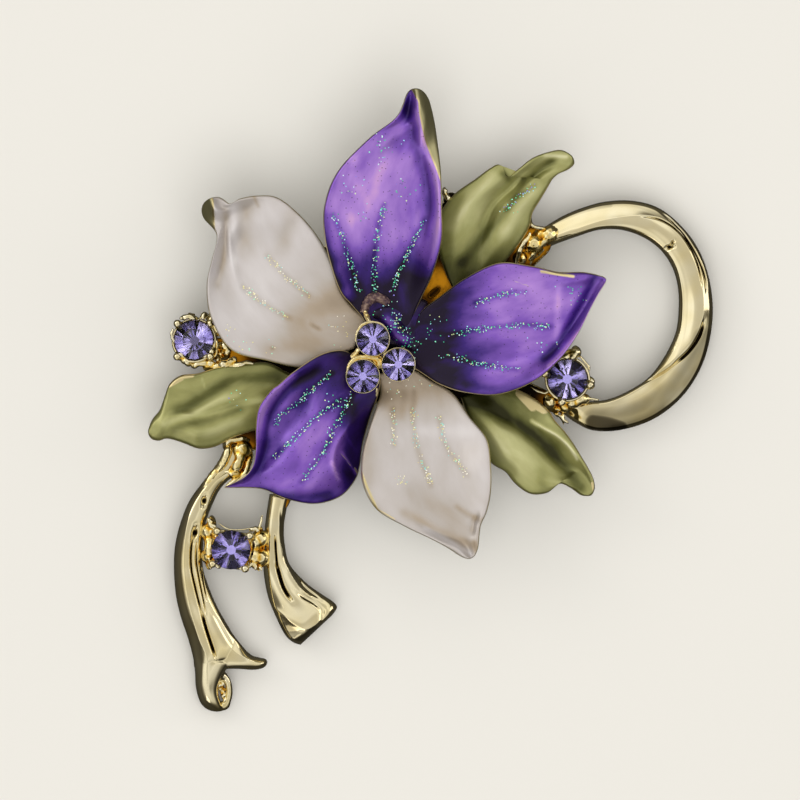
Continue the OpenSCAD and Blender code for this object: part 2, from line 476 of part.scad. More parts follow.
placed() ribbon_frame();
placed() leaf(upper_leaf, upper_leaf_folds);  // leaf_upper
placed() leaf(left_leaf, left_leaf_folds);  // leaf_left
placed() leaf(lower_leaf, lower_leaf_folds);  // leaf_lower
placed() petal(top_petal, top_petal_folds, purple);  // petal_purple_top
placed() petal(right_petal, right_petal_folds, purple);  // petal_purple_right
placed() petal(lower_petal, lower_petal_folds, purple);  // petal_purple_lower
placed() petal(pearl_left, pearl_left_folds, pearl);  // petal_pearl_left
placed() petal(pearl_lower, pearl_lower_folds, pearl);  // petal_pearl_lower
placed() centre_cups();
placed() centre_stone(0);  // stone_centre_1
placed() centre_stone(1);  // stone_centre_2
placed() centre_stone(2);  // stone_centre_3
placed() at_cup(cup_left) stone(outer_stone_d);  // stone_left
placed() at_cup(cup_right) stone(outer_stone_d);  // stone_right
placed() at_cup(cup_tail) stone(outer_stone_d);  // stone_tail
placed() pin_back();
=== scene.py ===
"""Flower brooch: a gold-plated cast ribbon with enamelled petals and leaves and foil-backed stones.

The brooch lies on its back. Tables are in millimetres from the middle of the flower, +X right and
+Y up in a front view, as in the part's source, and heights are from the ground. Blender's own units
are metres.
"""
import math
import random
from collections import namedtuple

import bpy
import numpy as np
from mathutils import Matrix, Vector, noise
from mathutils.bvhtree import BVHTree


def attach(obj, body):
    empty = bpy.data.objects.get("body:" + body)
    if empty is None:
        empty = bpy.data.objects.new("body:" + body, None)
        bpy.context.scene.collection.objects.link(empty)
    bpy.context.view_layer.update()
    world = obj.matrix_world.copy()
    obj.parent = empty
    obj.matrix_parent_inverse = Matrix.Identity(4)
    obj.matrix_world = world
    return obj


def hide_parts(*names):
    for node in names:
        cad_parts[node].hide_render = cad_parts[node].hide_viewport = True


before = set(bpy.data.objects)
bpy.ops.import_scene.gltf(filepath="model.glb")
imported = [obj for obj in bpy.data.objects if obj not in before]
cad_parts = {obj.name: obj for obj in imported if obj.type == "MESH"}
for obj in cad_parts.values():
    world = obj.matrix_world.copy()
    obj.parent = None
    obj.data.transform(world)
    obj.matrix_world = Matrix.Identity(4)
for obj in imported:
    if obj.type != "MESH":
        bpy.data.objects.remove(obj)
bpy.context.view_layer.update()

MM = 0.001
BODY = "root"
FLOWER_AT = np.array([-5.0, 4.32, 0.0])

# Walls and heights, as in the part's source
PETAL_WALL = 0.9
LEAF_WALL = 0.9
LOOP_WALL = 2.2
TAIL_WALL = 1.8
PLATE_LOW = 3.5
PLATE_THICK = 1.2
PLATE_TOP = PLATE_LOW + PLATE_THICK
CLUSTER_FLOOR = 8.35
CLUSTER_RIM = 10.2

# Columns of a section: left edge x, y; right edge x, y; then the heights of the face
# at five places from the left edge to the right one.
TOP_PETAL = [
    [-1.6, 1.3,  2.2, 1.2,   7.8,  7.8,  7.8,  7.8,  7.8],
    [-1.7, 3.6,  2.9, 2.8,   7.8,  7.8,  7.8,  7.8,  7.8],
    [-2.9, 5.2,  3.5, 4.6,   8.2,  7.9,  7.8,  7.9,  8.2],
    [-4.0, 6.5,  4.2, 6.2,   9.1,  8.2,  7.9,  8.1,  9.0],
    [-4.8, 8.5,  5.2, 8.4,   9.9,  8.8,  8.4,  8.4,  10.0],
    [-5.6, 11.7, 6.1, 11.7,  10.6, 9.8,  9.4,  9.1,  11.0],
    [-5.7, 15.0, 6.1, 15.0,  11.0, 10.5, 10.1, 9.7,  11.5],
    [-4.4, 18.5, 6.0, 18.6,  11.2, 11.0, 10.7, 10.4, 11.4],
    [-1.3, 21.8, 5.7, 21.3,  11.5, 11.4, 10.9, 11.8, 10.6],
    [1.3, 23.8,  5.4, 23.4,  11.9, 11.2, 12.2, 12.2, 10.2],
    [2.2, 25.4,  5.0, 25.2,  12.2, 11.7, 12.8, 12.1, 10.2],
    [2.5, 26.9,  4.5, 26.8,  12.2, 12.2, 12.6, 12.0, 10.8]]
RIGHT_PETAL = [
    [2.4, 0.9,   1.8, -1.2,  7.8,  7.8,  7.8,  7.8,  7.8],
    [3.1, 2.5,   3.2, -1.1,  7.8,  7.8,  7.8,  7.8,  7.8],
    [3.9, 4.6,   4.3, -1.7,  8.2,  7.9,  7.8,  7.9,  8.1],
    [5.8, 6.1,   5.9, -2.7,  8.9,  8.2,  8.0,  8.1,  8.8],
    [8.4, 8.0,   8.4, -3.5,  9.5,  8.9,  8.5,  8.6,  9.6],
    [11.7, 9.5,  11.7, -3.7, 10.2, 9.9,  9.5,  9.4,  10.5],
    [15.0, 9.2,  15.2, -2.4, 10.7, 10.5, 10.2, 10.0, 11.2],
    [17.7, 8.6,  17.8, -0.2, 11.0, 10.8, 10.5, 10.3, 11.6],
    [19.9, 8.6,  19.6, 2.3,  11.3, 11.0, 10.7, 10.5, 11.9],
    [21.2, 8.4,  20.9, 4.9,  11.5, 11.2, 10.9, 10.9, 12.2],
    [21.9, 8.2,  21.9, 6.7,  11.7, 11.5, 11.4, 11.6, 12.3],
    [22.4, 8.1,  22.5, 7.5,  12.0, 12.0, 12.0, 12.1, 12.2]]
LOWER_PETAL = [
    [0.0, -2.2,    -2.3, 0.1,    7.8, 7.8,  7.8,  7.8,  7.8],
    [-0.3, -3.9,   -4.0, 0.8,    7.6, 7.8,  7.8,  7.9,  8.1],
    [-1.0, -5.8,   -6.2, 0.3,    7.0, 8.0,  8.2,  8.2,  9.0],
    [-1.8, -8.6,   -8.8, -1.4,   6.5, 8.3,  8.7,  8.4,  9.7],
    [-2.1, -10.8,  -10.2, -2.6,  6.2, 8.5,  8.9,  8.4,  9.9],
    [-2.6, -12.3,  -11.0, -3.2,  6.4, 8.6,  9.0,  8.5,  10.0],
    [-4.1, -13.9,  -12.2, -4.9,  7.0, 8.7,  9.0,  8.4,  10.1],
    [-6.6, -14.6,  -12.5, -7.0,  7.6, 8.6,  8.8,  8.2,  10.0],
    [-9.5, -14.1,  -12.5, -9.0,  7.8, 8.2,  8.3,  8.1,  9.8],
    [-11.6, -13.2, -12.8, -10.7, 7.8, 7.8,  7.9,  8.2,  9.4],
    [-13.5, -13.0, -13.8, -11.9, 7.9, 7.8,  7.9,  8.3,  9.0],
    [-15.7, -13.1, -15.7, -12.8, 8.2, 8.2,  8.2,  8.3,  8.5]]
PEARL_LEFT = [
    [-2.7, 0.9,   -1.4, 4.0,   6.8, 6.8,  6.8,  6.8,  6.8],
    [-4.6, 0.1,   -2.9, 5.2,   6.9, 6.9,  6.8,  6.9,  7.1],
    [-7.6, -1.0,  -4.1, 7.0,   7.2, 7.1,  7.0,  7.2,  7.7],
    [-11.4, -0.3, -5.0, 9.8,   7.9, 7.6,  7.4,  7.7,  8.5],
    [-15.0, 0.8,  -6.4, 12.3,  8.7, 8.2,  8.0,  8.5,  9.2],
    [-17.0, 4.0,  -8.2, 14.4,  9.5, 8.7,  8.6,  9.2,  9.9],
    [-17.4, 7.2,  -10.3, 16.0, 10.1, 9.2, 9.2,  10.0, 10.5],
    [-16.9, 9.7,  -12.3, 16.2, 10.4, 9.6, 10.0, 10.1, 10.9],
    [-16.4, 12.2, -14.0, 15.9, 10.6, 10.2, 10.2, 10.6, 11.2],
    [-17.7, 13.9, -15.1, 15.4, 9.6, 10.8, 11.8, 10.9, 11.2],
    [-18.2, 15.4, -15.9, 16.4, 9.8, 10.9, 12.1, 11.6, 11.2]]
PEARL_LOWER = [
    [3.0, -0.9,   -0.5, -1.6,   6.8, 6.8, 6.8, 6.8, 6.8],
    [5.0, -2.2,   -0.1, -3.4,   6.9, 6.8, 6.8, 6.8, 6.8],
    [7.2, -3.5,   -0.6, -5.2,   7.4, 7.1, 7.0, 7.3, 8.2],
    [8.9, -5.9,   -1.3, -7.3,   8.3, 7.5, 7.4, 7.9, 8.8],
    [10.6, -8.1,  -1.9, -9.7,   9.2, 8.1, 8.0, 8.5, 9.2],
    [11.0, -10.8, -1.9, -12.4,  9.8, 8.7, 8.6, 9.2, 9.3],
    [11.0, -13.3, -0.5, -15.1,  10.0, 9.2, 9.2, 9.8, 9.4],
    [10.6, -15.3, 2.3, -16.8,   10.1, 9.6, 9.6, 10.0, 10.0],
    [10.0, -16.7, 5.0, -18.1,   10.3, 10.0, 9.8, 10.2, 10.6],
    [9.8, -18.3,  7.0, -19.2,   10.6, 10.3, 10.0, 10.8, 10.8],
    [9.7, -19.7,  8.4, -20.3,   11.0, 10.8, 10.7, 11.0, 11.0]]
UPPER_LEAF = [
    [7.1, 6.9,   9.2, 7.0,    5.8, 5.8, 5.8, 5.8, 5.8],
    [6.2, 9.0,   11.4, 8.5,   5.9, 6.0, 5.9, 6.0, 5.9],
    [5.6, 11.5,  13.4, 10.8,  6.0, 6.3, 6.1, 6.4, 6.0],
    [5.8, 14.2,  14.8, 12.9,  6.2, 6.7, 6.3, 6.8, 6.2],
    [7.2, 16.3,  15.2, 14.5,  6.6, 7.0, 6.5, 7.1, 6.5],
    [9.4, 17.9,  15.9, 15.7,  7.1, 7.2, 6.6, 7.2, 6.8],
    [10.9, 19.0, 16.5, 16.7,  7.4, 7.3, 6.7, 7.2, 7.0],
    [11.8, 19.3, 16.9, 17.4,  7.5, 7.2, 6.7, 7.2, 7.1],
    [12.5, 18.1, 17.2, 17.9,  7.4, 7.0, 6.8, 7.2, 7.2],
    [13.7, 18.9, 17.8, 18.4,  7.5, 7.1, 6.9, 7.2, 7.3],
    [15.3, 20.1, 18.7, 18.8,  7.7, 7.4, 7.1, 7.2, 7.2],
    [17.6, 20.8, 19.3, 19.3,  7.6, 7.5, 7.4, 7.3, 7.1],
    [18.7, 20.6, 19.4, 19.9,  7.2, 7.2, 7.2, 7.1, 7.0]]
LEFT_LEAF = [
    [-8.8, -6.5,  -7.8, -2.0,   5.8, 5.9, 5.8, 5.9, 5.8],
    [-11.3, -7.0, -9.3, -1.4,   5.9, 6.2, 6.0, 6.1, 5.9],
    [-13.0, -7.4, -11.3, -0.4,  6.0, 6.5, 6.2, 6.3, 6.0],
    [-14.8, -8.0, -13.6, -0.5,  6.1, 6.8, 6.4, 6.5, 6.2],
    [-16.6, -8.9, -16.3, -0.9,  6.1, 7.0, 6.7, 6.6, 6.6],
    [-18.2, -9.1, -18.3, -1.5,  6.1, 7.1, 6.8, 6.7, 6.8],
    [-19.6, -8.6, -20.0, -1.7,  6.2, 7.1, 6.9, 6.8, 6.9],
    [-20.8, -8.2, -21.1, -2.5,  6.3, 7.0, 6.9, 6.9, 6.8],
    [-21.5, -8.1, -21.6, -3.7,  6.4, 6.9, 7.0, 6.9, 6.7],
    [-22.2, -8.3, -22.1, -5.1,  6.4, 6.8, 7.0, 6.9, 6.6],
    [-22.8, -8.2, -22.8, -6.0,  6.4, 6.7, 6.8, 6.8, 6.5],
    [-23.3, -7.9, -23.3, -6.9,  6.3, 6.5, 6.6, 6.5, 6.4]]
LOWER_LEAF = [
    [12.2, -2.5,  7.9, -3.9,    5.8, 5.9, 5.8, 5.9, 5.8],
    [14.7, -3.6,  8.7, -6.0,    5.9, 6.0, 6.0, 6.3, 6.0],
    [16.6, -5.0,  9.8, -8.5,    6.2, 6.0, 6.4, 6.7, 6.2],
    [17.4, -6.2,  11.0, -10.5,  6.7, 6.2, 6.6, 7.0, 6.4],
    [18.2, -7.1,  12.4, -11.4,  7.0, 6.3, 6.7, 7.2, 6.6],
    [18.9, -8.0,  13.4, -12.6,  7.2, 6.4, 6.8, 7.3, 6.8],
    [19.5, -8.9,  14.9, -13.6,  7.3, 6.5, 6.8, 7.3, 6.9],
    [20.1, -9.9,  16.6, -13.5,  7.4, 6.6, 6.8, 7.2, 6.9],
    [20.7, -10.9, 17.8, -12.6,  7.4, 6.8, 6.9, 7.1, 7.0],
    [21.2, -11.9, 18.9, -13.0,  7.4, 7.0, 7.0, 7.1, 7.0],
    [21.4, -12.8, 19.9, -13.7,  7.3, 7.1, 7.1, 7.1, 7.0],
    [21.3, -13.6, 20.7, -13.9,  7.2, 7.1, 7.1, 7.1, 7.0]]
LOOP = [
    [16.0, 12.9, 15.0, 10.2,  4.5, 4.7, 4.8, 5.0, 4.7],
    [17.9, 14.1, 17.3, 11.3,  4.4, 4.6, 4.8, 5.0, 4.7],
    [19.9, 15.0, 19.5, 12.1,  4.3, 4.5, 4.7, 4.9, 4.8],
    [22.4, 15.7, 21.8, 12.8,  4.2, 4.5, 4.7, 4.9, 4.9],
    [25.2, 15.8, 24.1, 12.8,  4.1, 4.4, 4.6, 4.8, 4.7],
    [27.8, 15.1, 26.2, 12.1,  3.9, 4.2, 4.6, 4.6, 4.4],
    [30.0, 13.4, 27.9, 10.9,  3.7, 4.1, 4.4, 4.3, 4.1],
    [31.7, 11.2, 29.1, 9.2,   3.7, 4.1, 4.3, 4.2, 4.0],
    [32.8, 8.5,  29.7, 7.2,   3.6, 4.0, 4.2, 4.1, 3.9],
    [33.3, 5.2,  29.8, 5.0,   3.6, 4.0, 4.2, 4.0, 3.8],
    [33.0, 1.9,  29.5, 2.6,   3.6, 3.9, 4.2, 4.1, 3.9],
    [32.0, -1.2, 28.4, 0.2,   3.6, 3.8, 4.1, 4.3, 4.1],
    [30.1, -4.0, 26.8, -1.9,  3.6, 3.8, 4.1, 4.3, 4.4],
    [27.4, -6.1, 24.7, -3.3,  3.7, 3.9, 4.1, 4.3, 4.5],
    [24.2, -7.2, 22.7, -4.1,  3.8, 4.0, 4.2, 4.4, 4.5],
    [21.4, -7.3, 20.9, -4.3,  3.9, 4.1, 4.3, 4.4, 4.5],
    [19.5, -6.5, 19.4, -4.4,  4.0, 4.1, 4.3, 4.5, 4.5],
    [17.9, -5.3, 17.9, -3.9,  4.1, 4.2, 4.4, 4.5, 4.5]]
LONG_TAIL = [
    [-12.8, -7.8,  -15.2, -8.6,   4.8, 5.0, 5.1, 5.0, 4.6],
    [-13.8, -10.8, -16.5, -10.7,  4.8, 5.0, 5.1, 5.0, 4.6],
    [-15.9, -12.9, -17.9, -12.4,  4.7, 4.9, 5.1, 5.0, 4.4],
    [-16.9, -14.8, -19.3, -14.4,  4.5, 4.8, 5.0, 4.9, 4.1],
    [-17.6, -16.8, -20.2, -16.7,  4.4, 4.7, 4.9, 4.8, 3.9],
    [-17.8, -19.0, -20.7, -18.9,  4.3, 4.6, 4.8, 4.7, 3.8],
    [-17.8, -21.0, -20.8, -21.2,  4.2, 4.5, 4.7, 4.6, 3.7],
    [-17.2, -23.0, -20.6, -23.8,  4.0, 4.4, 4.6, 4.5, 3.5],
    [-16.3, -25.1, -20.1, -26.0,  3.7, 4.1, 4.4, 4.4, 3.4],
    [-15.1, -27.2, -19.4, -28.1,  3.4, 3.8, 4.1, 4.1, 3.1],
    [-14.3, -28.8, -18.9, -30.0,  3.1, 3.5, 3.8, 3.8, 2.8],
    [-14.9, -30.3, -18.8, -31.0,  3.0, 3.3, 3.6, 3.6, 2.6]]
PRONG_RIGHT = [
    [-15.1, -27.3, -16.9, -31.2,  3.3, 3.3, 3.3, 3.2, 3.0],
    [-13.3, -29.5, -14.4, -31.2,  2.7, 3.1, 3.2, 3.1, 2.8],
    [-12.2, -30.0, -12.8, -31.3,  2.3, 2.6, 2.8, 2.7, 2.4],
    [-11.3, -30.1, -11.5, -31.1,  2.1, 2.3, 2.4, 2.3, 2.1]]
PRONG_LOWER = [
    [-15.0, -30.4, -18.8, -30.2,  3.1, 3.5, 3.7, 3.6, 2.7],
    [-15.8, -31.8, -18.7, -31.6,  2.9, 3.3, 3.5, 3.4, 2.5],
    [-16.3, -33.3, -18.6, -33.1,  2.7, 3.0, 3.2, 3.0, 2.3],
    [-16.0, -34.6, -18.2, -34.5,  2.3, 2.6, 2.7, 2.5, 2.0],
    [-15.5, -35.5, -17.4, -35.5,  1.7, 1.8, 1.8, 1.7, 1.5]]
SHORT_TAIL = [
    [-9.1, -13.6, -11.2, -13.6,  4.8, 4.9, 5.0, 4.9, 4.7],
    [-9.5, -15.5, -11.5, -15.5,  4.7, 4.9, 5.0, 4.9, 4.6],
    [-9.7, -17.0, -11.7, -17.2,  4.5, 4.8, 4.9, 4.8, 4.4],
    [-9.6, -18.8, -11.8, -19.2,  4.3, 4.6, 4.8, 4.7, 4.1],
    [-9.1, -20.7, -11.8, -21.4,  4.0, 4.4, 4.6, 4.5, 3.9],
    [-7.5, -22.5, -11.4, -23.8,  3.6, 4.1, 4.4, 4.3, 3.6],
    [-6.0, -23.6, -10.6, -25.9,  3.3, 3.8, 4.1, 3.9, 3.2],
    [-4.8, -24.4, -9.7, -27.7,   3.0, 3.4, 3.6, 3.4, 2.7],
    [-4.4, -25.0, -8.9, -28.5,   2.7, 3.0, 3.1, 2.9, 2.3],
    [-4.9, -25.8, -8.1, -28.8,   2.3, 2.5, 2.5, 2.3, 1.9]]

# Columns of a fold: first row, last row, place across at the first and at the last row
# (0 left, 1 right), half width, and height (negative is a groove).
FOLDS = {
    "petal_purple_right": [[6.5, 9, 0.12, 0.1, 0.5, 0.25]],
    "petal_purple_lower": [[1.5, 8.5, 0.72, 0.72, 0.8, -0.2]],
    "petal_pearl_left": [[4.5, 8.7, 0.3, 0.42, 0.45, 0.25]],
    "petal_pearl_lower": [[6.8, 8.6, 0.12, 0.2, 0.35, -0.25]],
    "leaf_upper": [[1, 10.5, 0.5, 0.55, 0.6, -0.3]],
    "leaf_left": [[1, 9.5, 0.42, 0.4, 0.5, 0.2]]}

# Lines that are both creased and given painted light and shade: points x, y
LOWER_PETAL_WRINKLE = [[-3.9, -9.4], [-3.1, -10.6], [-2.6, -11.6]]
PEARL_LEFT_FOLD = [[-15.5, 14.6], [-15.4, 12.3], [-15.7, 9.8], [-16.3, 7.3]]
PEARL_LEFT_DENT = [[-8.9, 14.1], [-9.4, 12.3], [-9.9, 10.8]]
LEFT_LEAF_GROOVE = [[-10.5, -1.9], [-12.5, -2.0], [-14.5, -2.2], [-16.1, -2.9], [-18.1, -4.1],
                    [-20.1, -5.3]]
LOWER_LEAF_GROOVE = [[10.4, -4.7], [13.4, -6.5], [15.4, -7.9], [17.0, -9.5], [18.6, -11.1],
                     [19.8, -12.9]]
LOWER_LEAF_CREST = [[15.1, -6.3], [16.2, -7.0], [17.6, -7.8], [18.8, -8.9], [19.6, -10.1]]

# Creases in a sheet: half width, height (negative is a groove), 1 for a sharp crest or 2 for a
# round one, and the points x, y of its line
CREASES = {
    "petal_purple_top": [
        [0.65, -0.4, 2, [[2.6, 26.0], [2.9, 24.5], [3.3, 22.0], [4.0, 19.6], [4.7, 17.1], [4.9, 14.8],
                        [4.5, 12.8], [3.9, 10.4]]]],
    "petal_purple_right": [
        [0.6, -0.45, 2, [[21.5, 7.9], [20.1, 5.2], [18.5, 2.3], [17.3, 0.7], [15.4, -0.9]]]],
    "petal_purple_lower": [
        [0.55, -0.35, 2, [[-5.4, -0.9], [-9.1, -2.9], [-11.1, -5.9], [-11.7, -8.9], [-12.6, -11.4],
                        [-14.1, -12.7]]],
        [0.3, 0.25, 2, [[-2.8, -6.2], [-4.4, -8.5], [-4.8, -10.5], [-4.1, -12.9]]],
        [0.16, 0.15, 2, LOWER_PETAL_WRINKLE],
        [0.16, 0.15, 2, [[-3.6, -7.4], [-2.9, -8.6], [-2.3, -9.4]]],
        [0.14, -0.15, 2, [[-3.9, -10.9], [-3.2, -11.9]]]],
    "petal_pearl_left": [
        [0.8, -0.16, 2, [[-13.2, 15.8], [-13.6, 13.5], [-13.5, 10.8]]],
        [0.4, -0.2, 2, PEARL_LEFT_FOLD],
        [0.8, -0.12, 2, PEARL_LEFT_DENT]],
    "petal_pearl_lower": [
        [0.45, -0.2, 2, [[2.4, -15.5], [4.0, -16.4], [6.4, -17.7], [9.2, -19.0]]],
        [0.3, -0.12, 2, [[7.0, -14.4], [8.9, -15.7], [10.4, -16.3]]]],
    "leaf_left": [
        [0.7, -0.24, 2, LEFT_LEAF_GROOVE],
        [0.4, 0.15, 2, [[-14.5, -3.7], [-16.1, -4.2], [-18.1, -5.2], [-20.5, -6.1]]]],
    "leaf_lower": [
        [0.8, -0.45, 2, LOWER_LEAF_GROOVE],
        [0.3, 0.15, 1, LOWER_LEAF_CREST]],
    "loop": [
        [0.9, 0.26, 1, [[17.9, 12.0], [19.9, 13.0], [22.3, 13.8], [24.7, 14.2], [26.9, 14.2], [28.5, 13.5],
                        [30.1, 12.0], [31.3, 9.8], [32.1, 7.4], [32.3, 5.0], [31.9, 3.0], [30.3, 0.8],
                        [28.5, -0.8], [25.9, -2.4], [22.9, -3.8], [21.1, -4.4]]],
        [0.07, -0.42, 2, [[25.9, 14.2], [27.8, 13.9], [29.5, 12.9], [30.8, 11.4], [31.7, 9.4], [32.2, 7.0]]],
        [0.16, 0.12, 1, [[27.3, 15.3], [29.1, 14.1], [30.7, 12.3], [31.9, 10.3], [32.7, 8.3], [32.9, 6.6]]],
        [0.08, -0.42, 2, [[27.6, 14.9], [29.0, 13.8], [30.4, 12.2], [31.6, 10.2], [32.4, 8.2], [32.6, 6.4]]],
        [0.14, -0.45, 2, [[32.4, 4.0], [31.9, 2.2], [30.8, 0.6], [29.3, -0.7]]],
        [0.08, -0.3, 2, [[30.4, 0.2], [28.8, -1.1], [27.3, -2.0], [25.5, -2.9]]],
        [0.12, 0.08, 1, [[29.0, 9.9], [29.9, 7.4], [29.95, 5.0], [29.6, 3.0], [28.7, 1.0]]],
        [0.16, -0.5, 2, [[28.5, 10.8], [28.9, 11.1], [29.3, 11.2]]],
        [0.1, -0.45, 2, [[29.0, 11.1], [29.2, 11.6], [29.5, 11.8]]],
        [0.06, -0.42, 2, [[28.2, 10.8], [28.7, 11.2], [29.2, 11.0]]],
        [0.8, -0.3, 2, [[30.2, -4.2], [27.4, -6.3], [24.2, -7.4], [21.4, -7.5]]]],
    "long_tail": [
        [0.35, 0.12, 1, [[-18.0, -13.2], [-18.9, -14.8], [-19.3, -16.2], [-19.6, -18.2], [-19.7, -20.2],
                         [-19.6, -22.2], [-19.3, -24.2], [-18.8, -26.2], [-18.2, -28.2], [-17.5, -29.8],
                         [-17.4, -31.8], [-17.1, -33.8], [-16.6, -35.0]]],
        [0.08, -0.5, 2, [[-18.6, -17.1], [-19.0, -19.0], [-19.0, -21.0], [-18.6, -23.0], [-18.1, -25.0],
                         [-17.8, -26.2]]],
        [0.06, -0.42, 2, [[-18.4, -18.2], [-18.5, -20.2], [-18.2, -22.2], [-17.8, -24.2], [-17.5, -25.8]]],
        [0.12, -0.6, 2, [[-18.0, -25.2], [-17.6, -26.8], [-17.1, -28.4], [-16.5, -30.2]]],
        [0.05, -0.42, 2, [[-18.0, -20.6], [-17.8, -22.4], [-17.4, -24.4]]],
        [0.22, -0.6, 2, [[-18.5, -16.7], [-18.6, -17.3], [-18.8, -18.3]]],
        [0.2, 0.1, 1, [[-17.9, -21.0], [-17.4, -23.0], [-16.6, -25.0], [-15.6, -27.0], [-14.3, -28.6],
                       [-12.7, -29.8]]],
        [0.3, 0.12, 1, [[-17.3, -25.0], [-16.3, -27.0], [-15.1, -29.0], [-13.7, -30.0], [-12.0, -30.6]]],
        [0.2, -0.6, 2, [[-17.6, -13.7], [-17.7, -14.2], [-17.8, -14.9]]]],
    "short_tail": [
        [0.08, -0.45, 2, [[-10.6, -17.6], [-10.5, -19.6], [-10.3, -21.6]]],
        [0.15, -0.6, 2, [[-10.5, -20.4], [-9.8, -22.9], [-8.8, -24.5]]],
        [0.2, 0.08, 1, [[-10.9, -16.0], [-11.1, -19.0], [-11.1, -22.0], [-10.6, -24.8]]],
        [0.12, -0.22, 2, [[-10.0, -15.0], [-9.9, -18.0], [-9.1, -20.6], [-7.7, -22.9], [-5.9, -24.2]]],
        [0.16, 0.16, 1, [[-10.2, -16.0], [-9.6, -20.2], [-8.3, -22.8], [-6.3, -24.5]]],
        [0.24, -0.17, 2, [[-8.6, -23.2], [-7.7, -23.9], [-6.7, -24.5], [-5.95, -25.2], [-5.95, -26.0],
                          [-6.1, -27.2]]],
        [0.4, 0.12, 2, [[-5.8, -24.3], [-5.2, -25.3], [-5.4, -26.4]]],
        [0.25, 0.14, 1, [[-11.2, -24.6], [-9.8, -25.7], [-8.9, -26.5], [-7.6, -27.1], [-6.7, -26.8],
                         [-5.6, -25.8]]],
        [0.6, 0.36, 2, [[-10.5, -28.6], [-8.6, -28.2], [-7.0, -27.2], [-5.4, -25.9], [-4.2, -24.6]]]]}

# Grooves at least this deep get painted shade, nearly black at their deepest
SLOT_DEPTH = 0.4

# Painted shade on the plate, in dark patches: how much, half width, 2 for a soft edge or more for a sharp
# one, and the points x, y of the stroke
PAINTED_SHADE_PATCHES = {
    "loop": [
        [0.72, 0.9, 8, [[21.2, -6.4], [22.7, -6.6], [24.0, -7.0]]],
        [0.57, 1.6, 4, [[21.4, -6.2], [24.0, -6.0], [26.9, -4.9], [29.4, -3.0], [31.3, -0.7], [32.4, 1.9]]],
        [0.46, 0.5, 2, [[17.4, 13.6], [20.4, 14.8], [23.0, 15.3]]],
        [0.46, 0.5, 2, [[28.6, 9.6], [29.4, 7.2], [29.7, 5.0], [29.2, 3.0]]]],
    "short_tail": [
        [0.56, 0.6, 6, [[-9.7, -26.9], [-8.5, -27.8], [-7.6, -27.9], [-6.6, -27.3]]]]}
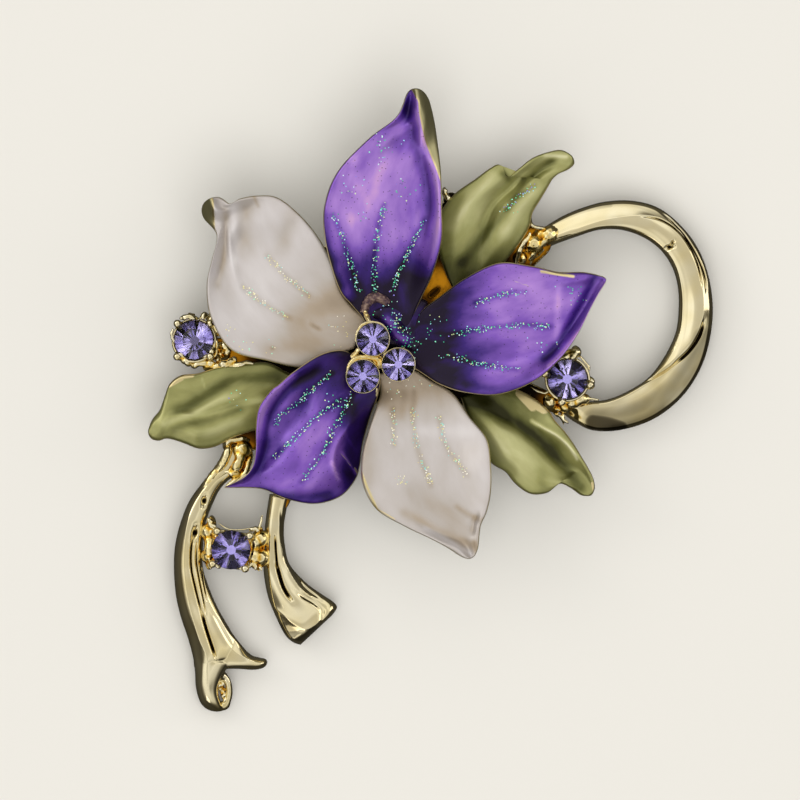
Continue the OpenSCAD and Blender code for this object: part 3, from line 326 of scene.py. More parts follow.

# Painted highlights (above 0) and painted shade (below 0), laid in as thinner and thicker enamel: how much,
# half width, and the points x, y of the stroke
PAINTED_LIGHT_STROKES = {
    "petal_purple_top": [
        [-0.16, 0.7, [[2.8, 25.2], [3.3, 22.0], [4.0, 19.6], [4.6, 17.1], [4.7, 14.8], [4.2, 12.6]]],
        [-0.16, 0.8, [[2.6, 24.6], [2.3, 26.6]]],
        [0.16, 0.22, [[3.4, 24.6], [4.4, 21.2], [5.4, 18.0], [5.8, 15.0], [5.5, 11.8], [4.8, 9.0]]],
        [0.22, 0.8, [[-2.7, 18.0], [-2.5, 17.2]]],
        [0.2, 0.5, [[-3.0, 20.0], [-2.7, 19.6]]],
        [0.1, 2.2, [[0.4, 19.6], [-0.6, 15.0]]],
        [0.16, 1.2, [[1.6, 12.6], [1.4, 11.2]]],
        [0.14, 1.0, [[-3.0, 13.8], [-2.6, 11.8]]],
        [-0.12, 1.3, [[0.6, 22.6], [2.0, 21.2]]],
        [-0.25, 0.45, [[-5.6, 14.2], [-5.2, 10.6], [-4.2, 7.2]]],
        [0.25, 0.7, [[-4.3, 8.6], [-3.4, 6.4]]]],
    "petal_purple_right": [
        [-0.28, 0.5, [[21.3, 8.0], [19.9, 5.6], [18.6, 3.0], [17.5, 1.3], [16.3, -0.1]]],
        [0.3, 0.2, [[22.1, 7.4], [20.9, 5.0], [19.8, 2.9], [18.4, 1.0], [16.7, -0.8]]],
        [0.14, 1.2, [[13.6, 7.4], [17.0, 6.6]]],
        [0.16, 0.35, [[17.7, 7.0], [17.5, 1.8]]],
        [0.12, 1.4, [[11.6, 5.0], [14.0, 1.6]]],
        [-0.22, 0.6, [[8.6, -2.7], [11.8, -3.1], [14.6, -2.0]]],
        [-0.12, 1.2, [[10.4, 0.9], [12.6, 0.6]]]],
    "petal_purple_lower": [
        [0.12, 1.8, [[-8.0, -8.4], [-6.6, -11.2]]],
        [-0.18, 0.6, [[-6.2, -1.2], [-9.3, -3.3], [-11.0, -6.0], [-11.6, -8.9], [-12.4, -11.2]]],
        [0.2, 0.4, [[-8.8, -1.9], [-11.4, -4.4], [-12.2, -7.6], [-12.9, -10.6]]],
        [-0.24, 1.0, [[-3.0, -4.8], [-3.3, -8.4], [-3.2, -11.6]]],
        [-0.25, 0.6, [[-12.0, -13.2], [-8.6, -13.9], [-5.4, -13.7]]],
        [0.25, 0.16, [[-4.9, -10.4], [-4.2, -12.2]]],
        [0.2, 0.12, LOWER_PETAL_WRINKLE],
        [0.5, 0.12, [[-2.6, -11.1], [-2.3, -11.7]]]],
    "petal_pearl_left": [
        [-0.17, 1.0, [[-13.0, 15.8], [-13.6, 13.5], [-13.5, 11.4]]],
        [-0.2, 0.45, PEARL_LEFT_FOLD],
        [0.14, 0.5, [[-14.8, 15.0], [-14.5, 9.8]]],
        [-0.2, 0.18, [[-12.6, 16.0], [-12.2, 15.1]]],
        [-0.12, 0.8, PEARL_LEFT_DENT],
        [0.1, 2.0, [[-12.0, 8.6], [-13.0, 5.0]]],
        [-0.22, 1.5, [[-4.2, 6.4], [-7.0, 4.6], [-8.4, 3.6]]],
        [-0.2, 1.2, [[-6.9, 1.5], [-11.1, 0.9]]],
        [-0.25, 0.2, [[-6.9, 3.3], [-6.2, 2.9]]],
        [-0.2, 0.15, [[-11.0, 0.9], [-10.6, 1.0]]]],
    "petal_pearl_lower": [
        [-0.12, 0.5, [[2.3, -3.6], [2.0, -5.9]]],
        [-0.14, 0.35, [[3.3, -3.4], [3.3, -4.6]]],
        [0.14, 0.8, [[3.6, -7.3], [8.9, -7.4]]],
        [-0.18, 1.0, [[-1.4, -7.9], [-1.2, -12.2]]],
        [-0.2, 1.7, [[3.2, -13.9], [6.0, -15.2], [8.4, -16.8]]],
        [-0.2, 0.6, [[2.4, -15.5], [4.4, -16.5], [7.0, -17.7], [9.3, -18.8]]],
        [0.2, 0.2, [[4.4, -17.0], [6.9, -18.3], [8.9, -19.5]]],
        [-0.12, 0.3, [[7.6, -14.8], [8.9, -15.7], [10.2, -16.2]]],
        [-0.2, 0.3, [[9.3, -18.4], [9.5, -19.2]]]],
    "leaf_upper": [
        [-0.28, 0.55, [[17.0, 19.6], [14.7, 17.6], [13.1, 15.5], [10.4, 12.3], [8.1, 9.6]]],
        [0.2, 0.6, [[15.4, 17.2], [13.8, 14.9], [12.4, 12.4]]],
        [0.2, 0.5, [[11.2, 18.2], [8.5, 15.0], [7.2, 13.0]]],
        [-0.2, 1.8, [[7.0, 8.6], [8.6, 8.4]]],
        [0.36, 0.25, [[16.4, 20.2], [18.5, 20.1]]],
        [-0.3, 0.4, [[12.2, 18.4], [12.7, 17.9]]]],
    "leaf_left": [
        [-0.26, 0.7, LEFT_LEAF_GROOVE],
        [0.22, 0.35, [[-14.5, -3.7], [-16.1, -4.2], [-18.1, -5.2], [-20.5, -6.1], [-21.7, -6.6]]],
        [-0.2, 0.45, [[-14.1, -5.1], [-16.5, -5.9], [-19.1, -6.6], [-20.7, -7.1]]],
        [0.14, 0.6, [[-14.1, -6.5], [-17.1, -7.5]]],
        [0.12, 0.1, [[-17.9, -2.0], [-17.6, -3.0]]]],
    "leaf_lower": [
        [-0.34, 0.7, [[8.6, -4.1], *LOWER_LEAF_GROOVE]],
        [-0.22, 1.4, [[10.4, -4.2], [13.2, -5.6], [15.2, -7.0], [17.0, -8.8]]],
        [0.5, 0.18, LOWER_LEAF_CREST],
        [0.2, 1.8, [[11.6, -7.6], [14.0, -9.8]]],
        [-0.12, 0.6, [[16.0, -11.3], [16.2, -13.1]]]]}

# Ridges where the metal was pressed and soldered: radius, then points x, y, z
STRANDS = [
    # at the loop's start
    [0.22, [[15.0, 14.2, 5.0], [15.0, 13.3, 5.3], [15.8, 13.0, 5.3], [16.8, 13.1, 5.0]]],
    [0.24, [[14.7, 13.2, 5.2], [14.0, 12.3, 5.3], [13.4, 11.3, 5.3], [12.9, 10.6, 5.2]]],
    [0.30, [[14.9, 12.7, 5.3], [14.3, 11.6, 5.4], [13.8, 10.6, 5.3], [13.5, 9.4, 5.2]]],
    [0.26, [[12.8, 10.6, 5.3], [12.2, 10.0, 5.3], [11.7, 9.3, 5.2]]],
    [0.34, [[17.6, 12.9, 4.9], [16.6, 11.8, 5.1], [15.6, 10.8, 5.1], [14.8, 9.7, 5.0]]],
    [0.17, [[16.4, 10.8, 4.8], [15.4, 10.1, 4.8], [14.9, 9.3, 4.7]]],
    [0.95, [[17.6, 12.7, 4.1], [16.6, 12.2, 4.2], [15.6, 11.6, 4.3], [14.9, 11.0, 4.2]]],
    # at the long tail's start
    [0.50, [[-15.2, -8.5, 4.9], [-15.6, -9.9, 5.1], [-16.4, -11.3, 5.0], [-17.3, -12.8, 4.6],
            [-18.0, -14.0, 4.1]]],
    [0.58, [[-13.8, -8.3, 4.9], [-14.2, -9.6, 5.1], [-14.5, -10.8, 5.1], [-15.0, -12.0, 4.8]]],
    [0.36, [[-13.1, -9.0, 4.8], [-13.1, -10.2, 4.9], [-13.5, -11.4, 4.9], [-14.6, -12.3, 4.9],
            [-15.7, -12.8, 4.8]]],
    [0.30, [[-15.9, -8.8, 5.1], [-15.0, -8.3, 5.3], [-13.5, -8.0, 5.3]]],
    # round the left stone
    [0.30, [[-20.1, 4.05, 6.35], [-19.2, 4.1, 6.4], [-18.2, 3.97, 6.3]]],
    [0.13, [[-19.3, 4.4, 6.2], [-18.6, 4.36, 6.2]]],
    [0.30, [[-17.95, 4.1, 6.2], [-17.3, 4.35, 6.2]]],
    [0.63, [[-17.3, 4.1, 5.7], [-16.8, 3.3, 5.6], [-16.3, 2.1, 5.5]]],
    [0.36, [[-16.6, 2.0, 6.0], [-16.7, 0.95, 6.0], [-17.2, 0.3, 6.0], [-17.9, 0.05, 5.9]]],
    [0.17, [[-16.3, 1.8, 6.1], [-16.5, 0.5, 6.1], [-17.1, -0.2, 6.0]]],
    [0.36, [[-15.9, 1.5, 5.8], [-15.5, 1.0, 5.9], [-15.3, 0.3, 5.8]]],
    [0.45, [[-16.8, -1.0, 5.9], [-15.8, -0.5, 6.1], [-14.6, 0.0, 6.2]]],
    [0.30, [[-16.7, -1.1, 5.9], [-15.3, -0.85, 6.1], [-14.5, -0.75, 6.2], [-13.8, -0.66, 6.2],
            [-12.7, -0.6, 6.2]]],
    [0.33, [[-18.9, -0.8, 5.6], [-18.1, -0.62, 5.8], [-16.8, -0.4, 5.8]]],
    [0.39, [[-17.6, -1.0, 5.6], [-16.6, -0.45, 5.8]]],
    [0.36, [[-20.4, 0.4, 6.1], [-19.7, -0.15, 6.0], [-18.9, -0.6, 5.8]]],
    [0.16, [[-20.8, 3.0, 6.0], [-20.85, 2.2, 6.0], [-20.7, 1.5, 6.0]]],
    # round the right stone
    [0.51, [[18.5, 0.1, 5.5], [19.0, 0.4, 5.7], [19.6, 0.9, 5.5]]],
    [0.15, [[19.7, 0.3, 5.5], [20.5, -0.5, 5.5], [20.9, -1.3, 5.4]]],
    [0.36, [[20.7, -1.9, 5.4], [21.0, -2.5, 5.4], [20.7, -3.1, 5.3]]],
    [0.17, [[20.3, -3.5, 5.2], [20.8, -4.0, 5.1], [21.9, -4.15, 4.9]]],
    [0.60, [[18.8, -4.5, 4.8], [19.6, -4.3, 5.0], [20.4, -3.9, 4.9]]],
    [0.30, [[17.7, -4.4, 5.0], [18.6, -4.3, 5.1]]],
    [0.13, [[14.9, -2.8, 5.0], [15.6, -3.3, 5.1], [16.3, -3.5, 5.1], [17.0, -3.1, 5.0]]],
    [0.60, [[16.9, -4.0, 4.7], [16.9, -4.7, 4.7]]],
    [0.39, [[17.5, -5.1, 4.6], [17.7, -5.2, 4.6]]],
    [0.16, [[17.7, -5.5, 4.6], [18.1, -6.0, 4.6], [18.8, -6.6, 4.4]]],
    [0.14, [[17.2, -5.5, 4.5], [17.9, -5.9, 4.5], [18.3, -6.6, 4.3]]],
    # round the tail's stone
    [0.11, [[-16.3, -16.5, 5.0], [-15.3, -17.1, 5.1], [-14.1, -17.2, 5.1], [-13.1, -17.0, 5.0]]],
    [0.60, [[-17.1, -15.9, 4.2], [-17.3, -17.6, 4.4], [-17.2, -19.4, 4.4], [-17.1, -21.2, 4.2]]],
    [0.26, [[-17.3, -16.0, 4.7], [-17.0, -16.8, 4.9], [-16.5, -17.2, 4.9]]],
    [0.24, [[-17.0, -20.2, 4.8], [-16.6, -20.6, 4.8], [-16.2, -20.9, 4.7]]],
    [0.14, [[-11.9, -15.7, 4.6], [-12.1, -16.6, 4.7], [-12.3, -17.6, 4.7]]],
    [0.72, [[-12.3, -17.2, 4.1], [-12.4, -18.6, 4.2], [-12.3, -20.0, 4.2], [-12.2, -21.2, 4.0]]],
    [0.26, [[-13.4, -20.9, 4.8], [-12.9, -20.6, 4.8], [-12.5, -20.8, 4.6]]],
    [0.24, [[-13.2, -17.3, 4.8], [-12.8, -17.1, 4.9], [-12.2, -17.3, 4.7]]],
    # between the top petal and its leaf
    [0.30, [[6.3, 16.9, 6.3], [6.5, 16.3, 6.3], [6.7, 15.7, 6.3]]]]

# Places with short folds between the ridges: from x, y, z, to x, y, z, how far the folds lie
# from that line, their radius, their length, and their number
PRESSED = [
    [-14.3, -9.5, 4.8, -15.6, -12.0, 4.7, 0.5, 0.2, 1.2, 5],
    [17.0, 12.4, 4.75, 15.0, 10.8, 4.8, 0.4, 0.16, 0.8, 12],
    [-15.6, 1.3, 5.5, -16.2, -0.2, 5.6, 0.35, 0.2, 0.8, 8],
    [17.6, -4.8, 4.6, 18.2, -5.9, 4.3, 0.25, 0.2, 0.6, 5],
    [-17.2, -16.6, 4.55, -17.1, -20.6, 4.55, 0.25, 0.16, 0.9, 22],
    [-12.3, -17.6, 4.55, -12.2, -20.8, 4.5, 0.4, 0.18, 1.0, 26],
    [-16.1, -32.3, 1.7, -15.9, -34.3, 1.6, 0.18, 0.2, 0.6, 16]]

# The flower's neck over the upper centre stone, as runs whose rows are x, y, z and radius: the arch
# where the enamel is rubbed off, the webs of enamel that join the petals, and solder at the stones
NECK_ARCH = [
    [[-1.75, 4.5, 7.9, 0.36], [-1.35, 5.6, 7.85, 0.5], [-0.4, 6.1, 7.8, 0.56], [0.8, 5.5, 7.8, 0.36]]]
NECK_WEBS = [
    [[2.3, 0.9, 7.0, 0.9], [2.9, 2.4, 7.0, 1.0], [3.5, 4.2, 7.1, 0.9], [4.3, 5.8, 7.9, 0.5]],
    [[-0.4, 4.6, 7.2, 0.8], [0.6, 3.9, 7.2, 1.0], [1.4, 2.9, 7.2, 1.15], [2.3, 1.9, 7.15, 1.1],
     [3.6, 0.9, 7.0, 0.9]],
    [[-1.0, 4.2, 7.1, 0.8], [0.6, 4.6, 7.0, 1.0], [2.2, 4.2, 6.9, 1.0]]]
# A painted highlight along the webs' fold, laid in as thinner enamel: points x, y, half width, and how light
# it is there
NECK_FOLD = [[0.6, 3.9], [1.2, 3.1], [1.5, 2.4], [2.3, 1.8]]
NECK_FOLD_HALF = 0.5
NECK_FOLD_LIGHT = 0.4
NECK_SOLDER = [
    [[-1.6, 4.7, 8.3, 0.2], [-1.4, 4.2, 8.5, 0.3], [-1.15, 3.6, 9.0, 0.2]],
    [[-3.4, -1.7, 9.9, 0.16], [-3.2, -0.8, 9.9, 0.2], [-2.6, -0.1, 9.9, 0.26], [-1.8, 0.08, 9.9, 0.24],
     [-1.0, 0.02, 9.8, 0.24], [-0.3, -0.2, 9.7, 0.36], [-0.15, -0.8, 9.7, 0.26]],
    [[-2.2, 0.9, 9.6, 0.2], [-2.5, 0.4, 9.4, 0.3], [-2.9, 0.0, 9.2, 0.3]],
    [[-2.54, 1.58, 10.1, 0.1], [-2.38, 2.58, 10.1, 0.12], [-1.82, 3.37, 10.1, 0.12],
     [-0.93, 3.6, 10.1, 0.12], [0.02, 3.38, 10.1, 0.11], [0.68, 2.72, 10.1, 0.08]],
    [[-0.4, -3.0, 9.6, 0.12], [-0.45, -3.4, 9.3, 0.14], [-0.5, -3.8, 8.9, 0.12]]]

# Where light gets down to the frame behind the flower, so that its plate shows orange: x, y, radius
LIT_PLATE = [[5.6, 7.4, 2.0], [-15.5, 0.3, 2.4], [15.0, 11.4, 2.2], [17.5, -4.6, 1.6], [-14.0, -10.0, 2.2],
             [-10.2, -14.6, 1.2], [-18.4, -1.3, 1.0]]

# The rimmed hole in that plate: points x, y at its ends, its half width, how far its rim reaches
# from the middle as a share of its length, how wide the rim is as a share of that, and its radius
PLATE_HOLE = [[4.9, 6.2], [5.7, 6.9]]
HOLE_HALF = 0.3
HOLE_REACH = 0.62
HOLE_ROUND = 0.45
HOLE_RIM_R = 0.09

# The outer settings: middle x, y; height of the girdle; turn of the prongs; lean and its direction;
# radius of the cup; drop of the cup's rim below the girdle; seed of its stone's facets
Cup = namedtuple("Cup", "x y girdle turn lean lean_way radius rim_drop stone_seed")
CUPS = {
    "left": Cup(-18.72, 1.8, 6.2, 45, 9, 135, 2.3, 0.1, 39),
    "right": Cup(18.65, -2.12, 6.0, 76, 0, 0, 2.3, 0.1, 27),
    "tail": Cup(-15.0, -19.2, 5.6, 37, 0, 0, 1.95, 0.5, 34)}
CUP_DEPTH = 2.5
PRONG_AT = 2.35
PRONG_R = 0.42
PRONG_POST_R = 0.27
FOOT_HALF = 0.72 * (PRONG_AT - 0.15 + PRONG_R)
FOOT_DROP = 1.1
OUTER_STONE_D = 3.9
CENTRE_STONE_D = 3.2
CENTRE_STONES_AT = [[-0.8, 1.85], [1.74, -0.66], [-1.8, -1.84]]
CENTRE_STONE_TURN = 11
STONE_GAP = 0.1

# The centre bezels: how far their inside and outside lie from the stone's edge, the radius of their
# post, and the solder between them as x, y, z, radius
BEZEL_IN = 0.04
BEZEL_OUT = 0.11
POST_R = 1.0
BEZEL_SOLDER = [-0.35, -0.25, 9.0, 0.85]

# A stone's girdle, and as shares of its diameter the table, the crown's height, the flat at the
# back and the back's height
GIRDLE = 0.15
TABLE_SHARE = 0.56
CROWN_SHARE = 0.17
BACK_SHARE = 0.24
BACK_HEIGHT_SHARE = 0.32

# Columns of an arm behind the flower: from x, y, z, radius; to x, y, z, radius
HUB = [0, 0, PLATE_LOW, 4.2]
ARMS = [
    [HUB, [15.4, 11.6, PLATE_LOW, 1.7]],
    [HUB, [16.8, -4.4, PLATE_LOW - 0.6, 1.0]],
    [HUB, [-14.6, -8.6, PLATE_LOW - 0.2, 1.3]],
    [[-6.0, -4.0, PLATE_LOW, 1.6], [-10.1, -14.4, PLATE_LOW - 0.5, 0.9]],
    [HUB, [-16.6, 0.9, PLATE_LOW - 0.1, 1.1]],
    [HUB, [-6.6, 9.5, PLATE_LOW, 1.9]],
    [HUB, [1.0, 7.6, PLATE_LOW, 3.4]],
    [[6.0, 5.0, PLATE_LOW, 1.8], [7.0, 15.8, PLATE_LOW, 0.8]],
    [[-6.6, 9.5, PLATE_LOW, 1.6], [13.4, 9.5, PLATE_LOW, 1.6]]]

# Columns of a lump of solder: x, y, z, radius; and the share of the radius that is under its folds
LUMP_SHARE = 0.9
LUMPS = [
    [15.3, 11.4, 4.6, 1.25], [13.9, 10.0, 4.4, 0.9], [16.1, 12.3, 4.5, 1.0],
    [-13.9, -9.2, 4.6, 1.2], [-14.6, -11.3, 4.5, 1.0],
    [17.0, -4.6, 4.4, 0.9], [18.4, -4.8, 4.4, 0.9], [20.0, -4.3, 4.4, 0.7],
    [-15.9, 0.7, 4.7, 1.1], [-17.0, -1.0, 4.3, 0.8],
    [-17.3, -17.4, 4.1, 0.95], [-17.2, -19.8, 4.1, 0.95],
    [-12.1, -18.1, 4.1, 1.05], [-12.0, -20.0, 4.1, 1.05]]

# Glitter lines: points x, y along each line of flakes
VEINS = {
    "petal_purple_top": [
        [[-4.8, 14.3], [-4.1, 12.8], [-3.6, 11.3], [-2.9, 8.8], [-2.1, 6.5]],
        [[0.3, 15.3], [-0.4, 12.3], [-0.7, 9.3], [-0.6, 6.3]],
        [[4.3, 13.7], [3.2, 11.5], [1.9, 8.8], [0.9, 5.8]]],
    "petal_purple_right": [
        [[9.4, 5.5], [12.4, 6.4], [14.4, 6.6]],
        [[6.9, 2.2], [9.2, 2.8], [13.9, 3.3], [16.9, 3.1]],
        [[5.9, 0.1], [6.6, 0.3], [10.2, -0.7], [13.6, -1.1]]],
    "petal_purple_lower": [
        [[-4.9, -1.5], [-7.2, -3.3], [-8.1, -4.5], [-9.8, -5.4], [-10.6, -6.6]],
        [[-4.1, -4.2], [-6.3, -5.8], [-8.3, -7.7], [-10.6, -9.9]],
        [[-2.8, -3.7], [-4.7, -7.0], [-5.5, -9.0], [-7.2, -11.4], [-7.9, -12.4]]],
    "petal_pearl_left": [
        [[-11.4, 10.2], [-9.2, 7.9], [-7.2, 6.2]],
        [[-13.8, 7.1], [-11.8, 5.5], [-9.2, 4.0]]],
    "petal_pearl_lower": [
        [[1.2, -5.1], [1.3, -8.7]],
        [[3.1, -5.1], [3.6, -8.9], [5.0, -12.7]],
        [[5.8, -6.0], [6.5, -8.8], [8.6, -11.7]]],
    "leaf_upper": [[[12.6, 14.9], [13.5, 16.0], [15.4, 17.2]]]}

# Loose patches of flakes: x, y, radius, number of flakes
PATCHES = {
    "petal_purple_top": [[0.2, 20.8, 1.7, 26], [-3.1, 17.0, 1.4, 12], [2.1, 16.9, 1.6, 14],
                         [-1.6, 14.5, 1.4, 8], [0.4, 4.4, 1.5, 26]],
    "petal_purple_right": [[19.2, 6.5, 1.3, 18], [16.4, 1.6, 1.3, 10], [5.0, 3.0, 1.8, 20],
                           [3.4, 1.6, 1.2, 14]],
    "petal_purple_lower": [[-4.2, -4.4, 1.3, 18]],
    "neck_web": [[1.4, 3.4, 1.5, 60], [2.9, 1.7, 1.4, 40]],
    "petal_pearl_left": [[-3.8, 3.0, 1.5, 16], [-15.3, 2.4, 0.9, 8], [-13.6, 0.9, 1.0, 8],
                         [-11.0, 1.2, 0.9, 5]],
    "petal_pearl_lower": [[2.1, -12.3, 0.8, 12], [1.3, -3.2, 1.4, 10], [3.9, -2.4, 1.2, 8]],
    "leaf_left": [[-14.3, -4.2, 1.1, 9]],
    "leaf_upper": [[12.7, 14.6, 1.0, 6]]}

# Strokes where the enamel is worn through or was never laid: x, y to x, y, half width, and how
# bare it is (0.6 polished, 1 satin like an underside)
BARE = {
    "petal_purple_right": [[15.9, 8.6, 19.2, 8.1, 0.14, 0.6], [13.2, 7.7, 14.9, 7.1, 0.03, 0.6]],
    "petal_purple_lower": [[-4.0, -9.5, -3.0, -10.8, 0.02, 0.56], [-2.6, -11.0, -2.2, -11.9, 0.07, 0.6]],
    "petal_pearl_left": [[-17.4, 15.6, -17.3, 12.9, 0.75, 1]],
    "petal_pearl_lower": [[-2.0, -11.4, -0.5, -14.9, 0.14, 0.6], [-0.5, -15.0, 1.4, -16.1, 0.06, 0.6]],
    "leaf_left": [[-21.2, -2.5, -20.1, -1.9, 0.45, 0.6], [-20.1, -1.9, -18.9, -1.7, 0.25, 0.6]],
    "leaf_lower": [[21.1, -12.5, 21.3, -13.4, 0.12, 0.6], [13.9, -3.5, 15.2, -4.9, 0.45, 0.6],
                   [14.8, -4.2, 16.3, -5.1, 0.5, 0.6]]}

# The line on the top petal past which its gold underside is turned up: x, y
TOP_PETAL_TURN = [[9.0, 16.6], [6.0, 17.4], [5.5, 18.8], [5.0, 20.0], [4.5, 21.3], [4.1, 22.8],
                  [3.8, 24.3], [3.7, 25.5], [3.1, 26.6]]


# Colour, nodes and materials

def linear(hex_colour):
    """An sRGB hex value as the linear colour that Blender works in."""
    channels = [int(hex_colour[i:i + 2], 16) / 255 for i in (1, 3, 5)]
    return [c / 12.92 if c <= 0.04045 else ((c + 0.055) / 1.055) ** 2.4 for c in channels] + [1.0]


def add(tree, kind, inputs=(), stops=(), **settings):
    """Adds a node. inputs gives its sockets a value each, or another node's output to link;
    stops are a colour ramp's places and colours."""
    node = tree.nodes.new("ShaderNode" + kind)
    for name, value in settings.items():
        setattr(node, name, value)
    for name, value in dict(inputs).items():
        if isinstance(value, bpy.types.NodeSocket):
            tree.links.new(value, node.inputs[name])
        else:
            node.inputs[name].default_value = value
    for k, (place, colour) in enumerate(stops):
        stop = node.color_ramp.elements[k] if k < 2 else node.color_ramp.elements.new(place)
        stop.position = place
        stop.color = linear(colour)
    return node


def new_material(name):
    """An empty material and its node tree."""
    material = bpy.data.materials.new(name)
    material.use_nodes = True
    material.node_tree.nodes.clear()
    return material, material.node_tree


GOLD_FACE = "#f1e6c2"
GOLD_DEEP = "#e8d7a2"


def gold_plate():
    """Pale gold plate on a cast white metal, polished by hand: sharp warm reflections that
    wave a little, patches of a deeper yellow, and painted shade that turns deep slots and some patches
    nearly black."""
    material, tree = new_material("pale_gold_plate")
    place = add(tree, "TexCoord").outputs["Object"]
    # Waves from the mop, 1.6 mm long
    waves = add(tree, "TexNoise", {"Vector": place, "Scale": 1 / 0.0016, "Detail": 1.0})
    bump = add(tree, "Bump", {"Height": waves.outputs["Fac"], "Strength": 0.3, "Distance": 0.00006})
    # Patches of thinner plate, 4 mm across
    patches = add(tree, "TexNoise", {"Vector": place, "Scale": 1 / 0.004, "Detail": 2.0})
    plate = add(tree, "ValToRGB", {"Fac": patches.outputs["Fac"]},
                stops=[(0.3, GOLD_DEEP), (0.62, GOLD_FACE)])
    # Painted shade: the slot value turns the plate nearly black in deep slots and in shaded patches
    slot = add(tree, "Attribute", attribute_name="slot").outputs["Fac"]
    painted_shade = add(tree, "MapRange", {"Value": slot, "From Min": 0.35, "From Max": 0.75}).outputs["Result"]
    colour = add(tree, "Mix", {0: painted_shade, 6: plate.outputs["Color"], 7: linear("#231a0c")},
                 data_type="RGBA").outputs[2]
    # Fine casting grain of 0.25 mm that dulls the shine
    grain = add(tree, "TexNoise", {"Vector": place, "Scale": 1 / 0.00025, "Detail": 2.0})
    dull = add(tree, "MapRange", {"Value": grain.outputs["Fac"], "To Min": 0.05, "To Max": 0.14})
    shader = add(tree, "BsdfPrincipled", {
        "Base Color": colour, "Metallic": 1.0, "Roughness": dull.outputs["Result"],
        "Normal": bump.outputs["Normal"]})
    add(tree, "OutputMaterial", {"Surface": shader.outputs["BSDF"]})
    return material


def pressed_gold():
    """The same plate where the casting was pressed and soldered: pale on the ridges, and in the pits
    painted light and shade: a deep orange, as of light bounced between gold walls, and nearly black in the
    deepest."""
    material, tree = new_material("pressed_deep_gold")
    place = add(tree, "TexCoord").outputs["Object"]
    hollow = add(tree, "Attribute", attribute_name="hollow").outputs["Fac"]
    # Painted bounced light and shade: the hollow value turns the pits orange, then nearly black
    colour = add(tree, "ValToRGB", {"Fac": hollow}, stops=[
        (0.0, "#f8eecb"), (0.26, "#f2e1a8"), (0.48, "#e4b644"), (0.74, "#c07c1c"), (0.97, "#4a240a")])
    # A skin of 0.2 mm that never was polished
    skin = add(tree, "TexNoise", {"Vector": place, "Scale": 1 / 0.0002, "Detail": 2.0})
    bump = add(tree, "Bump", {"Height": skin.outputs["Fac"], "Strength": 0.3, "Distance": 0.00003})
    shader = add(tree, "BsdfPrincipled", {
        "Base Color": colour.outputs["Color"], "Metallic": 1.0, "Roughness": 0.12,
        "Normal": bump.outputs["Normal"]})
    add(tree, "OutputMaterial", {"Surface": shader.outputs["BSDF"]})
    return material


def shaded_gold():
    """The frame's plate behind the flower, thick and unpolished, with painted light and shade: orange where
    light gets down to it, and nearly black in the flower's shade."""
    material, tree = new_material("painted_light_shade_gold")
    place = add(tree, "TexCoord").outputs["Object"]
    lit = add(tree, "Attribute", attribute_name="lit").outputs["Fac"]
    colour = add(tree, "ValToRGB", {"Fac": lit},
                 stops=[(0.0, "#120d08"), (0.5, "#6b420e"), (1.0, "#e09a20")])
    # Clouds in the plate, 2 mm across
    clouds = add(tree, "TexNoise", {"Vector": place, "Scale": 1 / 0.002, "Detail": 3.0})
    bump = add(tree, "Bump", {"Height": clouds.outputs["Fac"], "Strength": 0.6, "Distance": 0.0002})
    shader = add(tree, "BsdfPrincipled", {
        "Base Color": colour.outputs["Color"], "Metallic": 1.0, "Roughness": 0.3,
        "Normal": bump.outputs["Normal"]})
    add(tree, "OutputMaterial", {"Surface": shader.outputs["BSDF"]})
    return material


